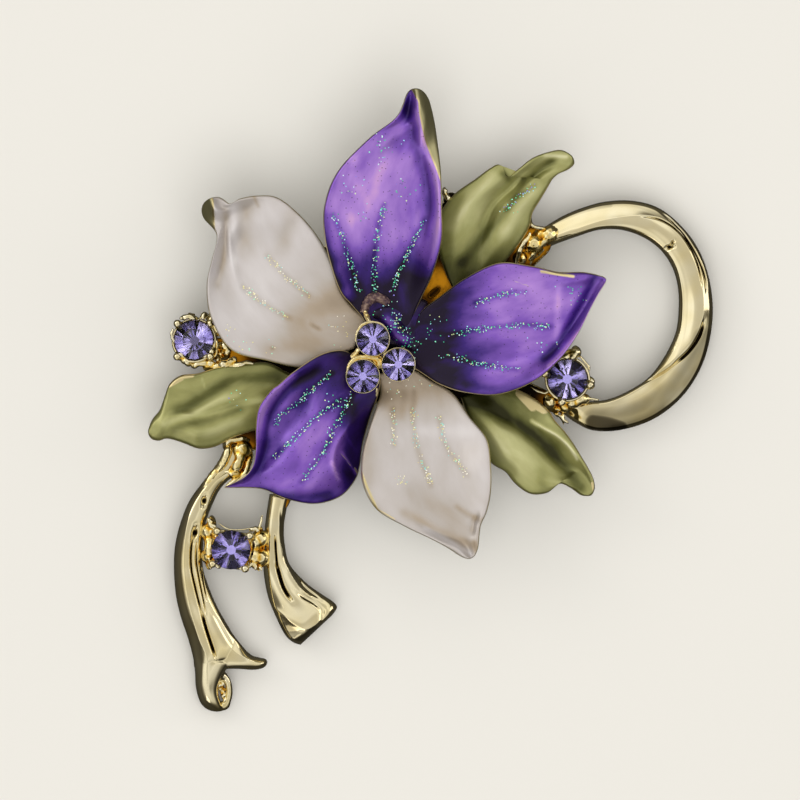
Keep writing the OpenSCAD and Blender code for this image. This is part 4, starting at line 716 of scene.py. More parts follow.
def enamel(name, stops, cloud, uneven, strokes, metallic, roughness, coat, speck=None):
    """Enamel, brushed on over gold plate and fired. Its colour goes from the first stop, where it
    lies thick and where shade is painted, to the last, where it is thin and where highlights are painted,
    with clouds of cloud x 2 cloud millimetres and brush strokes of a width in millimetres. The gold is bare
    where the piece's gilt value passes a half."""
    material, tree = new_material(name)
    lay = add(tree, "Attribute", attribute_name="lay").outputs["Vector"]
    # Its thinness value also carries the painted highlights and painted shade
    thin = add(tree, "Attribute", attribute_name="thinness_and_painted_light").outputs["Fac"]
    drawn = add(tree, "Mapping", {"Vector": lay, "Scale": (0.5 / cloud, 1 / cloud, 1.0)})
    clouds = add(tree, "TexNoise", {"Vector": drawn.outputs["Vector"], "Scale": 1.0, "Detail": 4.0})
    drift = add(tree, "MapRange", {"Value": clouds.outputs["Fac"], "From Min": 0.3, "From Max": 0.7,
                                   "To Min": -uneven, "To Max": uneven}).outputs["Result"]
    laid = add(tree, "Math", {0: thin, 1: drift}, operation="ADD").outputs[0]
    colour = add(tree, "ValToRGB", {"Fac": laid}, stops=stops).outputs["Color"]
    if speck:
        # Dark specks under 0.1 mm wide, one to about 0.4 mm
        place = add(tree, "TexCoord").outputs["Object"]
        cells = add(tree, "TexVoronoi", {"Vector": place, "Scale": 1 / 0.00042})
        dot = add(tree, "MapRange", {"Value": cells.outputs["Distance"], "From Min": 0.08, "From Max": 0.18,
                                     "To Min": 0.8, "To Max": 0.0}).outputs["Result"]
        colour = add(tree, "Mix", {0: dot, 6: colour, 7: linear(speck)}, data_type="RGBA").outputs[2]
    brushed = add(tree, "Mapping", {"Vector": lay, "Scale": (0.1 / strokes, 1 / strokes, 1.0)})
    hairs = add(tree, "TexNoise", {"Vector": brushed.outputs["Vector"], "Scale": 1.0, "Detail": 2.0})
    bump = add(tree, "Bump", {"Height": hairs.outputs["Fac"], "Strength": 0.2, "Distance": 0.00003})
    gilt = add(tree, "Attribute", attribute_name="gilt").outputs["Fac"]
    bare = add(tree, "MapRange", {"Value": gilt, "From Min": 0.42, "From Max": 0.58}).outputs["Result"]
    # Away from the rims it was left satin
    satin = add(tree, "MapRange", {"Value": gilt, "From Min": 0.68, "From Max": 0.9}).outputs["Result"]
    metal_tint = add(tree, "Mix", {0: satin, 6: linear(GOLD_DEEP), 7: linear("#c2bc92")},
                     data_type="RGBA").outputs[2]
    finished = add(tree, "Mix", {0: bare, 6: colour, 7: metal_tint}, data_type="RGBA").outputs[2]
    rough = add(tree, "MapRange", {"Value": satin, "To Min": roughness, "To Max": 0.5}).outputs["Result"]
    metal = add(tree, "MapRange", {"Value": bare, "To Min": metallic, "To Max": 1.0}).outputs["Result"]
    # Where it lies thick its glaze is duller
    glassy = add(tree, "MapRange", {"Value": laid, "From Min": 0.1, "From Max": 0.45, "To Min": 0.1 * coat,
                                    "To Max": coat}).outputs["Result"]
    glaze = add(tree, "MapRange", {"Value": bare, "To Min": glassy, "To Max": 0.0}).outputs["Result"]
    shader = add(tree, "BsdfPrincipled", {
        "Base Color": finished, "Metallic": metal, "Roughness": rough, "Coat Weight": glaze,
        "Coat Roughness": 0.1, "Normal": bump.outputs["Normal"]})
    add(tree, "OutputMaterial", {"Surface": shader.outputs["BSDF"]})
    return material


def violet_enamel():
    """Translucent purple: it glows like a dyed metal, goes nearly black where it pools and where shade is
    painted, and turns pink where it is thin and where highlights are painted."""
    return enamel("violet_enamel", [(0.0, "#170a26"), (0.22, "#341872"), (0.5, "#7d52bb"),
                                    (0.75, "#b287dc"), (1.0, "#e9b6dc")],
                  cloud=2.6, uneven=0.14, strokes=0.3, metallic=0.6, roughness=0.34, coat=0.4,
                  speck="#1d0f38")


def rubbed_enamel():
    """Purple enamel rubbed down to a rough brownish lilac where the petals meet at the neck."""
    material, tree = new_material("rubbed_enamel")
    place = add(tree, "TexCoord").outputs["Object"]
    # Worn spots of 0.4 mm
    worn = add(tree, "TexNoise", {"Vector": place, "Scale": 1 / 0.0004, "Detail": 3.0})
    colour = add(tree, "ValToRGB", {"Fac": worn.outputs["Fac"]},
                 stops=[(0.3, "#221430"), (0.5, "#5e4746"), (0.72, "#9a8374")])
    bump = add(tree, "Bump", {"Height": worn.outputs["Fac"], "Strength": 0.5, "Distance": 0.00008})
    shader = add(tree, "BsdfPrincipled", {
        "Base Color": colour.outputs["Color"], "Metallic": 0.3, "Roughness": 0.5,
        "Normal": bump.outputs["Normal"]})
    add(tree, "OutputMaterial", {"Surface": shader.outputs["BSDF"]})
    return material


def pearl_enamel():
    """Pearl white with a soft satin sheen, beige where it pools and where shade is painted."""
    return enamel("pearl_enamel", [(0.0, "#6f5d46"), (0.3, "#a0917f"), (0.5, "#b1a9a3"),
                                   (0.7, "#c1bbba"), (1.0, "#dfdbdc")],
                  cloud=1.6, uneven=0.05, strokes=0.3, metallic=0.25, roughness=0.36, coat=0.5)


def olive_enamel():
    """Olive green, satin finished with a brush along the leaf, dark in the grooves, where it pools and where
    shade is painted.
    """
    return enamel("olive_enamel", [(0.0, "#2b2b0c"), (0.25, "#606130"), (0.5, "#9c9b60"),
                                   (0.75, "#bfbd86"), (1.0, "#e6e3b8")],
                  cloud=1.4, uneven=0.07, strokes=0.25, metallic=0.65, roughness=0.34, coat=0.4)


def violet_glass():
    """Cut lead glass, dyed violet: the crown lets the foiled back show as bright and dark wedges."""
    material, tree = new_material("violet_cut_glass")
    shader = add(tree, "BsdfPrincipled", {
        "Base Color": linear("#e2dff2"), "Roughness": 0.0, "IOR": 1.6, "Transmission Weight": 1.0})
    add(tree, "OutputMaterial", {"Surface": shader.outputs["BSDF"]})
    return material


def mirror_foil():
    """Mirror foil on the back of a stone, seen through its violet glass, with painted reflections:
    each facet's colour, from lavender to nearly black, stands for how much light it throws back."""
    material, tree = new_material("mirror_foil")
    facet = add(tree, "Attribute", attribute_name="facet").outputs["Fac"]
    tint = add(tree, "ValToRGB", {"Fac": facet},
               stops=[(0.0, "#120f20"), (0.35, "#625c84"), (0.6, "#9d97b8"), (1.0, "#dad6e6")])
    shader = add(tree, "BsdfPrincipled", {
        "Base Color": tint.outputs["Color"], "Metallic": 1.0, "Roughness": 0.15})
    add(tree, "OutputMaterial", {"Surface": shader.outputs["BSDF"]})
    return material


def glitter():
    """Cut polyester flakes, metal coated: mint, ice blue or violet points of light."""
    material, tree = new_material("glitter_flakes")
    tint = add(tree, "Attribute", attribute_name="tint").outputs["Color"]
    shader = add(tree, "BsdfPrincipled", {"Base Color": tint, "Metallic": 0.3, "Roughness": 0.3})
    add(tree, "OutputMaterial", {"Surface": shader.outputs["BSDF"]})
    return material


def backdrop_board():
    """Matt pale board, with a faint tooth of 0.4 mm."""
    material, tree = new_material("pale_board")
    place = add(tree, "TexCoord").outputs["Object"]
    tooth = add(tree, "TexNoise", {"Vector": place, "Scale": 1 / 0.0004, "Detail": 2.0})
    bump = add(tree, "Bump", {"Height": tooth.outputs["Fac"], "Strength": 0.15, "Distance": 0.00005})
    shader = add(tree, "BsdfPrincipled", {
        "Base Color": linear("#d9d7d2"), "Roughness": 0.85, "Specular IOR Level": 0.2,
        "Normal": bump.outputs["Normal"]})
    add(tree, "OutputMaterial", {"Surface": shader.outputs["BSDF"]})
    return material


# Shapes: a shape is an array of points in millimetres and a list of faces

def curve_at(rows, t):
    """A smooth curve through the rows of a table, a Catmull-Rom spline, at the row numbers t."""
    rows, t = np.asarray(rows, float), np.asarray(t, float)
    last = len(rows) - 1
    i = np.clip(t.astype(int), 0, last - 1)
    f = (t - i).reshape(t.shape + (1,) * (rows.ndim - 1))
    a, b, c, d = rows[np.maximum(i - 1, 0)], rows[i], rows[i + 1], rows[np.minimum(i + 2, last)]
    return 0.5 * (2 * b + (c - a) * f + (2 * a - 5 * b + 4 * c - d) * f ** 2
                  + (3 * b - a - 3 * c + d) * f ** 3)


def folds_lift(folds, t, across, width):
    """How much the folds lift each point of a sheet, given its row number, its place across from 0
    to 1 and the sheet's width there. A fold fades out over a quarter of its run at either end."""
    lift = np.zeros(across.shape)
    for first, last, at_first, at_last, half_width, height in folds:
        s = (t - first) / (last - first)
        off = (across - at_first - (at_last - at_first) * s) * width / half_width
        lift += height * np.clip(np.minimum(4 * s, 4 * (1 - s)), 0, 1) * np.exp(-off * off)
    return lift


# The turns at which a rim gets points as it rounds off, and at which a tip gets rows as it closes
ROUNDING = np.radians(range(0, 91, 15))
TIP_TURN = np.radians([*range(6, 85, 6), 88])

# How far inside its solid a sheet lies, and how uneven a finished face is
SKIN = 0.03
RIPPLE = 0.02


def away_from(points, line, steps=6):
    """Distance in plan from each point to a smooth line through the points of line, drawn with so
    many steps from one to the next."""
    least = np.full(points.shape[:-1], math.inf)
    line = curve_at(line, np.linspace(0, len(line) - 1, steps * (len(line) - 1) + 1))
    for a, b in zip(line[:-1], line[1:]):
        s = np.clip(((points - a) @ (b - a)) / ((b - a) @ (b - a)), 0, 1)
        least = np.minimum(least, np.linalg.norm(points - a - s[..., None] * (b - a), axis=-1))
    return least


def stroke(points, line, half_width, power=2):
    """1 on a line, and less away from it: softly with a power of 2, and with a sharper edge above."""
    return np.exp(-(away_from(points, line) / half_width) ** power)


def crease_lift(points, crease):
    """How much a crease lifts or presses in each point. It fades out over a fifth of its length at
    either end, or over a millimetre if that is more."""
    half_width, height, power, line = crease
    ends = np.minimum(*[np.linalg.norm(points - np.array(line[k]), axis=-1) for k in (0, -1)])
    length = np.linalg.norm(np.diff(line, axis=0), axis=1).sum()
    fading = min(0.5 * length, max(0.2 * length, 1.0))
    return height * stroke(points, line, half_width, power) * np.clip(ends / fading, 0, 1)


def lay_rows(rows, tip, rim, per_row):
    """The row numbers at which a sheet gets points, from its rounded start to its end, and how much
    of its width and of its thickness is left at each. The end is rounded like the start, or closed
    to a round tip over the last tip rows."""
    last = len(rows) - 1 - SKIN
    middles = (rows[:, 0:2] + rows[:, 2:4]) / 2
    turned = 1 - np.cos(ROUNDING)
    start = rim / np.linalg.norm(middles[1] - middles[0])
    end = 0 if tip else rim / np.linalg.norm(middles[-1] - middles[-2])
    stop = last - tip - end
    body = np.linspace(start, stop, int((stop - start) * per_row))[1:-1]
    if tip:
        closing = np.concatenate([[stop], last - tip + tip * np.sin(TIP_TURN)])
        squeeze = np.concatenate([[1], np.cos(TIP_TURN)])
        full = np.ones(len(closing))
    else:
        closing = last - end * turned[::-1]
        squeeze = np.ones(len(closing))
        full = np.sin(ROUNDING)[::-1]
    return (np.concatenate([start * turned, body, closing]),
            np.concatenate([np.ones(len(turned) + len(body)), squeeze]),
            np.concatenate([np.sin(ROUNDING), np.ones(len(body)), full]))


def lay_sheet(name, rows, wall, tip=0.0, rim=0.35, per_row=10, across_n=56, ripple=0.0, length=3.0):
    """A petal, leaf or stretch of ribbon over its table: a face and a back that meet along a
    rounded rim. It gets per_row rows of points to a row of the table and across_n points across,
    and is uneven by ripple over a length. Gives its face and back, and for each point of the face
    the height before the rim's rounding, the row number, the distance from the rim, and the place
    along and across in millimetres."""
    rows = np.array(rows)
    t, squeeze, full = lay_rows(rows, tip, rim, per_row)
    turned = 1 - np.cos(ROUNDING)
    station = curve_at(rows, t)
    middle = (station[:, 0:2] + station[:, 2:4]) / 2
    half = (station[:, 2:4] - station[:, 0:2]) / 2
    half *= 1 - SKIN / np.linalg.norm(half, axis=1, keepdims=True)
    reach = np.linalg.norm(half, axis=1) * squeeze
    edge = np.minimum(rim, 0.9 * reach)
    near = edge[:, None] * turned[None, :] / (2 * reach[:, None])
    share = np.linspace(0, 1, across_n)[None, 1:-1]
    inner = near[:, -1:] + (1 - 2 * near[:, -1:]) * share
    v = np.hstack([near, inner, 1 - near[:, ::-1]])
    side = np.concatenate([np.sin(ROUNDING), np.ones(across_n - 2), np.sin(ROUNDING)[::-1]])
    across = 0.5 + (v - 0.5) * squeeze[:, None]

    x, y = [middle[:, k:k + 1] + half[:, k:k + 1] * (2 * across - 1) for k in (0, 1)]
    z = np.array([curve_at(s[4:9], 4 * a) for s, a in zip(station, across)])
    z += folds_lift(FOLDS.get(name, []), t[:, None], across, 2 * np.linalg.norm(half, axis=1)[:, None])
    if name in PAINTED_LIGHT_STROKES:
        # A petal or leaf: a ribbon's creases are carved into it later
        for crease in CREASES.get(name, []):
            z += crease_lift(np.dstack([x, y]), crease)
    if ripple:
        z += ripple * np.array([[noise.noise(Vector((p, q, 0)) / length) for p, q in zip(*xy)]
                                for xy in zip(x, y)])
    thick = np.minimum(wall / 2, reach)[:, None] * full[:, None] * side[None, :]
    run = np.concatenate([[0], np.cumsum(np.linalg.norm(np.diff(middle, axis=0), axis=1))])
    z -= SKIN
    return {"face": np.dstack([x, y, z - wall / 2 + thick]),
            "back": np.dstack([x, y, z - wall / 2 - thick]),
            "height": z,
            "row": np.broadcast_to(t[:, None], x.shape),
            "rim": np.minimum(v, 1 - v) * 2 * reach[:, None],
            "along": np.broadcast_to(run[:, None], x.shape),
            "aside": (across - 0.5) * 2 * np.linalg.norm(half, axis=1)[:, None]}


def on_both(face_values, back_values):
    """Values for a sheet's points: the face's, then the back's within the outermost points, which
    the two share."""
    return np.concatenate([v.reshape(-1, *v.shape[2:]) for v in (face_values, back_values[1:-1, 1:-1])])


def sheet_shape(sheet):
    """A sheet's points and quads."""
    n, m = sheet["row"].shape
    front = np.arange(n * m).reshape(n, m)
    rear = front.copy()
    rear[1:-1, 1:-1] = n * m + np.arange((n - 2) * (m - 2)).reshape(n - 2, m - 2)
    quads = []
    for grid, turned in ((front, False), (rear, True)):
        corners = [grid[:-1, :-1], grid[:-1, 1:], grid[1:, 1:], grid[1:, :-1]]
        quads += np.dstack(corners[::-1] if turned else corners).reshape(-1, 4).tolist()
    return on_both(sheet["face"], sheet["back"]), quads


def band(first, second, n):
    """Quads between two rings of n points, given the number of each ring's first point."""
    return [[first + k, first + (k + 1) % n, second + (k + 1) % n, second + k] for k in range(n)]


# How far the corners of a squared ring reach, as a share of its half side: a sharp one reaches 1.41
ROUND_CORNER = 1.3


def lathe(profile, squared=0, sides=64):
    """A ring turned from a closed profile of radius and height. The profile's first squared points
    are drawn out to a square with rounded corners."""
    points = []
    for k in range(sides):
        turn = 2 * math.pi * k / sides
        boxed = 1 / max(abs(math.cos(turn + math.pi / 4)), abs(math.sin(turn + math.pi / 4)))
        for j, (radius, height) in enumerate(profile):
            drawn = 1 + (min(boxed, ROUND_CORNER) - 1) * (j < squared)
            points.append([radius * drawn * math.cos(turn), radius * drawn * math.sin(turn), height])
    m = len(profile)
    quads = [[k * m + j, (k + 1) % sides * m + j, (k + 1) % sides * m + (j + 1) % m, k * m + (j + 1) % m]
             for k in range(sides) for j in range(m)]
    return np.array(points), quads


def circle(radius, height, n):
    """n points round a circle about the middle, at a height."""
    turns = [2 * math.pi * k / n for k in range(n)]
    return [[radius * math.cos(turn), radius * math.sin(turn), height] for turn in turns]


def ball(x, y, z, radius, tall=1.0, sides=16):
    """A ball, tall times as high as it is wide."""
    points = [[x, y, z - radius * tall]]
    for i in range(1, sides // 2):
        tilt = 2 * math.pi * i / sides
        ring = circle(radius * math.sin(tilt), z - radius * tall * math.cos(tilt), sides)
        points += [[x + a, y + b, height] for a, b, height in ring]
    points.append([x, y, z + radius * tall])
    top = len(points) - 1
    rings = range(1, top, sides)
    faces = [[0, 1 + (k + 1) % sides, 1 + k] for k in range(sides)]
    for ring in rings[:-1]:
        faces += band(ring, ring + sides, sides)
    faces += [[top, rings[-1] + k, rings[-1] + (k + 1) % sides] for k in range(sides)]
    return np.array(points), faces


def bar(a, b, low, high, sides=16):
    """A flat bar with round ends from a to b, each x, y and radius."""
    turn = math.atan2(b[1] - a[1], b[0] - a[0])
    outline = []
    for end, centre in ((a, math.pi), (b, 0)):
        for k in range(sides + 1):
            angle = turn + centre - math.pi / 2 + math.pi * k / sides
            outline.append([end[0] + end[2] * math.cos(angle), end[1] + end[2] * math.sin(angle)])
    n = len(outline)
    points = [[x, y, z] for z in (low, high) for x, y in outline]
    return np.array(points), band(0, n, n) + [list(range(n))[::-1], list(range(n, 2 * n))]


def wire(points, radii, sides=10, per_point=5):
    """A round wire through points, x, y and z, with a radius for each or one for all, closed at
    both ends. It gets per_point rings of corners to a point."""
    steps = np.linspace(0, len(points) - 1, per_point * len(points))
    path = curve_at(points, steps)
    radii = np.interp(steps, range(len(points)), np.broadcast_to(radii, len(points)))
    along = np.gradient(path, axis=0)
    along /= np.linalg.norm(along, axis=1, keepdims=True)
    side = np.cross(along, [0, 0, 1])
    side /= np.linalg.norm(side, axis=1, keepdims=True)
    up = np.cross(along, side)
    turns = 2 * np.pi * np.arange(sides) / sides
    rings = path[:, None] + radii[:, None, None] * (np.cos(turns)[None, :, None] * side[:, None]
                                                    + np.sin(turns)[None, :, None] * up[:, None])
    starts = range(0, len(path) * sides, sides)
    faces = [quad for start in starts[:-1] for quad in band(start, start + sides, sides)]
    faces += [list(range(sides))[::-1], list(range(starts[-1], starts[-1] + sides))]
    return rings.reshape(-1, 3), faces


def wires(runs, sides=10):
    """A wire along each run, whose rows are x, y, z and radius."""
    return [wire([row[:3] for row in run], [row[3] for row in run], sides) for run in runs]


def oval(middle, half_axis, other_half_axis, degrees):
    """Points on an oval at these degrees from its first half axis. All three are x, y, z."""
    middle, a, b = np.array([middle, half_axis, other_half_axis])
    return [middle + a * math.cos(turn) + b * math.sin(turn) for turn in np.radians(degrees)]


# Radius along a ridge, as shares of its full one, and how far it wavers, as a share of it too
STRAND_TAPER = (0.35, 0.85, 1.0, 0.9, 1.05, 0.85, 0.35)
STRAND_WAVER = 0.25


def strand(rng, points, radius):
    """A ridge of metal through points: it thins out at both ends, and wavers a little."""
    path = curve_at(points, np.linspace(0, len(points) - 1, len(STRAND_TAPER)))
    path += [[rng.gauss(0, STRAND_WAVER * radius) for _ in range(3)] for _ in path]
    return wire(path, [radius * share for share in STRAND_TAPER], 12)


# Pressed folds: how high each lies over its line, how far its heading, its slope and its points
# stray, its length and its thickness as shares of the row's, and the places along it of its points
# with how thick it is there
FOLD_HEIGHTS = (-0.35, 0.3)
FOLD_TURN = 0.45
FOLD_SLOPE = 0.12
FOLD_STRAY = 0.08
FOLD_LENGTHS = (0.6, 1.2)
FOLD_RADII = (0.7, 1.2)
FOLD_PLACES = (0, 0.35, 0.7, 1)
FOLD_TAPER = (0.4, 1, 0.9, 0.3)


def pressed_folds(rng, row):
    """Short folds of metal, pressed together at random along a line."""
    start, end = np.array(row[0:3]), np.array(row[3:6])
    spread, radius, length, count = row[6:]
    heading = math.atan2(end[1] - start[1], end[0] - start[0])
    folds = []
    for _ in range(count):
        middle = start + (end - start) * rng.random()
        middle += [rng.gauss(0, spread / 1.5), rng.gauss(0, spread / 1.5), rng.uniform(*FOLD_HEIGHTS)]
        way = heading + rng.gauss(0, FOLD_TURN)
        slope = rng.gauss(0, FOLD_SLOPE)
        run = np.array([math.cos(way), math.sin(way), slope]) * length * rng.uniform(*FOLD_LENGTHS)
        points = [middle + run * (place - 0.5) + [rng.gauss(0, FOLD_STRAY) for _ in range(3)]
                  for place in FOLD_PLACES]
        thick = radius * rng.uniform(*FOLD_RADII)
        folds.append(wire(points, [share * thick for share in FOLD_TAPER], 8))
    return folds


def together(shapes):
    """Several shapes as one."""
    points, faces, count = [], [], 0
    for some_points, some_faces in shapes:
        points.append(some_points)
        faces += [[k + count for k in f] for f in some_faces]
        count += len(some_points)
    return np.vstack(points), faces


def cast(shapes, voxel, rounds):
    """Closed shapes as one casting: merged into one skin with quads of a voxel's size, and smoothed
    in so many rounds."""
    points, faces = together(shapes)
    mesh = bpy.data.meshes.new("mould")
    mesh.from_pydata(points.tolist(), [], faces)
    mould = bpy.data.objects.new("mould", mesh)
    bpy.context.scene.collection.objects.link(mould)
    merge = mould.modifiers.new("merge", "REMESH")
    merge.mode = "VOXEL"
    merge.voxel_size = voxel
    soften = mould.modifiers.new("soften", "SMOOTH")
    soften.factor = 0.5
    soften.iterations = rounds
    whole = bpy.data.meshes.new_from_object(mould.evaluated_get(bpy.context.evaluated_depsgraph_get()))
    points = np.empty(len(whole.vertices) * 3)
    whole.vertices.foreach_get("co", points)
    faces = [list(p.vertices) for p in whole.polygons]
    bpy.data.objects.remove(mould)
    bpy.data.meshes.remove(mesh)
    bpy.data.meshes.remove(whole)
    return points.reshape(-1, 3), faces


def vertex_normals(shape):
    """The direction in which a shape faces at each point."""
    mesh = bpy.data.meshes.new("sample")
    mesh.from_pydata(shape[0].tolist(), [], shape[1])
    normals = np.array([v.normal[:] for v in mesh.vertices])
    bpy.data.meshes.remove(mesh)
    return normals


def carve(shape, name):
    """Presses the creases of a piece into its upper side. Gives the shape, and how dark each point
    is painted, as shade in its deep slots and on its shaded patches, from 0 to 1."""
    points, faces = shape[0].copy(), shape[1]
    # Full where the face looks up, and none on its walls
    upper = np.clip(vertex_normals(shape)[:, 2] / 0.3 - 0.3, 0, 1)
    slot = np.zeros(len(points))
    for crease in CREASES[name]:
        lift = crease_lift(shape[0][:, :2], crease) * upper
        points[:, 2] += lift
        if crease[1] <= -SLOT_DEPTH:
            slot = np.maximum(slot, lift / crease[1])
    # Painted shade in patches on the plate
    for amount, half_width, power, line in PAINTED_SHADE_PATCHES.get(name, []):
        slot = np.maximum(slot, amount * stroke(shape[0][:, :2], line, half_width, power))
    return (points, faces), slot


# Noise for creases in solder: how fast its finer layers fade, how much finer each is, how many there
# are, and the offset and gain that make it sharp. Where it is LEVEL, the metal goes neither up nor
# down
CREASING = (1.0, 2.1, 3, 1.0, 2.0)
LEVEL = 0.9


def crumple(shape, depth, length):
    """Presses sharp creases into a shape, like solder that was pushed about as it set. They go up
    and down by depth, over about a length."""
    points, faces = shape
    ridges = np.array([noise.ridged_multi_fractal(Vector(p) / length, *CREASING) for p in points])
    creases = np.clip((ridges - LEVEL) / LEVEL, -1, 1)
    return points + vertex_normals(shape) * (depth * creases)[:, None], faces


# A pit this deep, or a ridge this high, counts in full
PIT_DEPTH = 0.08


def hollows(shape, rounds):
    """How hollow a shape is at each point, from 0 on a ridge to 1 in a pit: how far the point
    lies below the same shape after rounds of smoothing."""
    points, faces = shape
    edges = np.array([(f[k - 1], f[k]) for f in faces for k in range(len(f))])
    ends, others = np.concatenate([edges, edges[:, ::-1]]).T
    count = np.bincount(ends, minlength=len(points))
    smooth = points
    for _ in range(rounds):
        smooth = np.stack([np.bincount(ends, smooth[others, k], len(points)) / count
                           for k in range(3)], axis=1)
    out = ((points - smooth) * vertex_normals(shape)).sum(axis=1)
    return np.clip(0.5 - 0.5 * out / PIT_DEPTH, 0, 1)


def moved(shape, matrix):
    """A shape, moved by a 4 x 4 matrix."""
    points, faces = shape
    return np.array([matrix @ Vector(p) for p in points]), faces


# Pieces

# What a mesh calls a value of one, three or four numbers a point
VALUE_KINDS = {1: ("FLOAT", "value"), 3: ("FLOAT_VECTOR", "vector"), 4: ("FLOAT_COLOR", "color")}


def make_piece(name, shape, materials, nodes, values=None, face_materials=None, smooth=True):
    """Makes a shape, in millimetres from the flower's middle, a piece that stands for nodes. values
    are what its materials read at each point."""
    points, faces = shape
    mesh = bpy.data.meshes.new(name)
    mesh.from_pydata(((points + FLOWER_AT) * MM).tolist(), [], faces)
    for key, value in (values or {}).items():
        value = np.asarray(value, float)
        kind, field = VALUE_KINDS[value.size // len(points)]
        mesh.attributes.new(key, kind, "POINT").data.foreach_set(field, value.ravel())
    mesh.polygons.foreach_set("use_smooth", [smooth] * len(mesh.polygons))
    for material in materials:
        mesh.materials.append(material)
    if face_materials:
        mesh.polygons.foreach_set("material_index", face_materials)
    piece = bpy.data.objects.new(name, mesh)
    bpy.context.scene.collection.objects.link(piece)
    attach(piece, BODY)
    if nodes:
        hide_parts(*nodes)
    return piece


# Enamel runs into hollows and lies darker there, which also paints shade into the creases: how far round a
# point is looked, in points of its sheet, the depth that counts in full, and how much thicker it lies in a
# deep hollow than on a high ridge
POOL_REACH = 6
POOL_DEPTH = 0.25
POOL_THICK = 0.3

# It also draws up along the rim, where its darker colour is partly painted shade, and round each line of
# glitter: how much thicker it lies there, and over what width
RIM_THICK = 0.16
RIM_WIDTH = 0.35
VEIN_THICK = 0.2
VEIN_WIDTH = 0.3

# How far in from the rim the gold is bare, and over what width its edge comes and goes
RIM_BARE = 0.07
GILT_SPREAD = 0.6


def pooling(height):
    """How far each point of a face lies in a hollow: 0.5 is flat, and 1 is a deep hollow."""
    smooth = height
    for axis in (0, 1):
        sides = [(POOL_REACH, POOL_REACH) if a == axis else (0, 0) for a in (0, 1)]
        padded = np.pad(smooth, sides, mode="edge")
        reach = range(-POOL_REACH, POOL_REACH + 1)
        summed = sum(np.roll(padded, k, axis) for k in reach) / len(reach)
        smooth = np.take(summed, range(POOL_REACH, POOL_REACH + height.shape[axis]), axis)
    return np.clip(0.5 + 0.5 * (smooth - height) / POOL_DEPTH, 0, 1)


def enamelled_sheet(name, sheet, material, thin, turn=None):
    """A petal or leaf: enamel on its face, and bare gold on its back, its rim and its bare strokes.
    thin gives the row up to which the enamel lies thick, the row from which it lies thin, and how
    thin it is at the one and at the other. turn is the line past which the underside shows."""
    plan = sheet["face"][..., :2]
    gilt = 0.5 + (RIM_BARE - sheet["rim"]) / GILT_SPREAD
    for x0, y0, x1, y1, half_width, most in BARE.get(name, []):
        worn = 0.5 + (half_width - away_from(plan, [[x0, y0], [x1, y1]])) / GILT_SPREAD
        gilt = np.maximum(gilt, np.minimum(worn, most))
    if turn is not None:
        line = np.array(turn)
        past = plan[..., 0] - np.interp(plan[..., 1], line[:, 1], line[:, 0], left=math.inf)
        gilt = np.maximum(gilt, 0.5 + past / GILT_SPREAD)
    first, full, at_first, at_full = thin
    run = np.clip((sheet["row"] - first) / (full - first), 0, 1)
    thinness_and_painted_light = at_first + (at_full - at_first) * run * run * (3 - 2 * run)
    drawn_up = RIM_THICK * np.exp(-sheet["rim"] / RIM_WIDTH)
    thinness_and_painted_light -= POOL_THICK * (pooling(sheet["height"]) - 0.5) + drawn_up
    # Painted highlights and painted shade, laid in as thinner and thicker enamel
    for amount, half_width, line in PAINTED_LIGHT_STROKES[name]:
        thinness_and_painted_light += amount * stroke(plan, line, half_width)
    for line in VEINS.get(name, []):
        thinness_and_painted_light -= VEIN_THICK * stroke(plan, line, VEIN_WIDTH)
    lay = np.dstack([sheet["along"], sheet["aside"], np.zeros(gilt.shape)])
    values = {"gilt": on_both(np.clip(gilt, 0, 1), np.ones(gilt.shape)),
              "thinness_and_painted_light": on_both(thinness_and_painted_light, thinness_and_painted_light),
              "lay": on_both(lay, lay)}
    return make_piece(name + "_enamelled", sheet_shape(sheet), [material], [name], values)


# Flakes: how many lie along a millimetre of a line, how far they stray from it, how far one tips
# out of its bed, their widths, half their thickness, and the steepest face they stick to, as how
# far its normal points up
FLAKES_PER_MM = 11
FLAKE_STRAY = 0.17
FLAKE_TIP = 0.22
FLAKE_WIDTHS = (0.1, 0.18)
FLAKE_HALF = 0.02
STEEPEST = 0.3
FLAKE_TINTS = ["#5fe6a8", "#92f4cf", "#d8fff4", "#43c896", "#9ae4f2", "#8d7fe0", "#2f9c7c", "#e2f6b4"]
PALE_FLAKE_TINTS = ["#f6f0c8", "#e8e39a", "#fffdf0", "#a8e8c8", "#d8c88a", "#8fd8d8"]


def flake(rng, place, normal, width):
    """A hexagonal flake, thin and closed, tipped a little out of its bed."""
    tilt = normal.copy()
    tilt.x += rng.gauss(0, FLAKE_TIP)
    tilt.y += rng.gauss(0, FLAKE_TIP)
    turn = tilt.to_track_quat("Z", "Y").to_matrix() @ Matrix.Rotation(rng.random() * 6.28, 3, "Z")
    corners = circle(width / 2, 0, 6) + [[0, 0, FLAKE_HALF], [0, 0, -FLAKE_HALF]]
    points = np.array([place + turn @ Vector(p) for p in corners])
    faces = [[k, (k + 1) % 6, 6] for k in range(6)] + [[(k + 1) % 6, k, 7] for k in range(6)]
    return points, faces


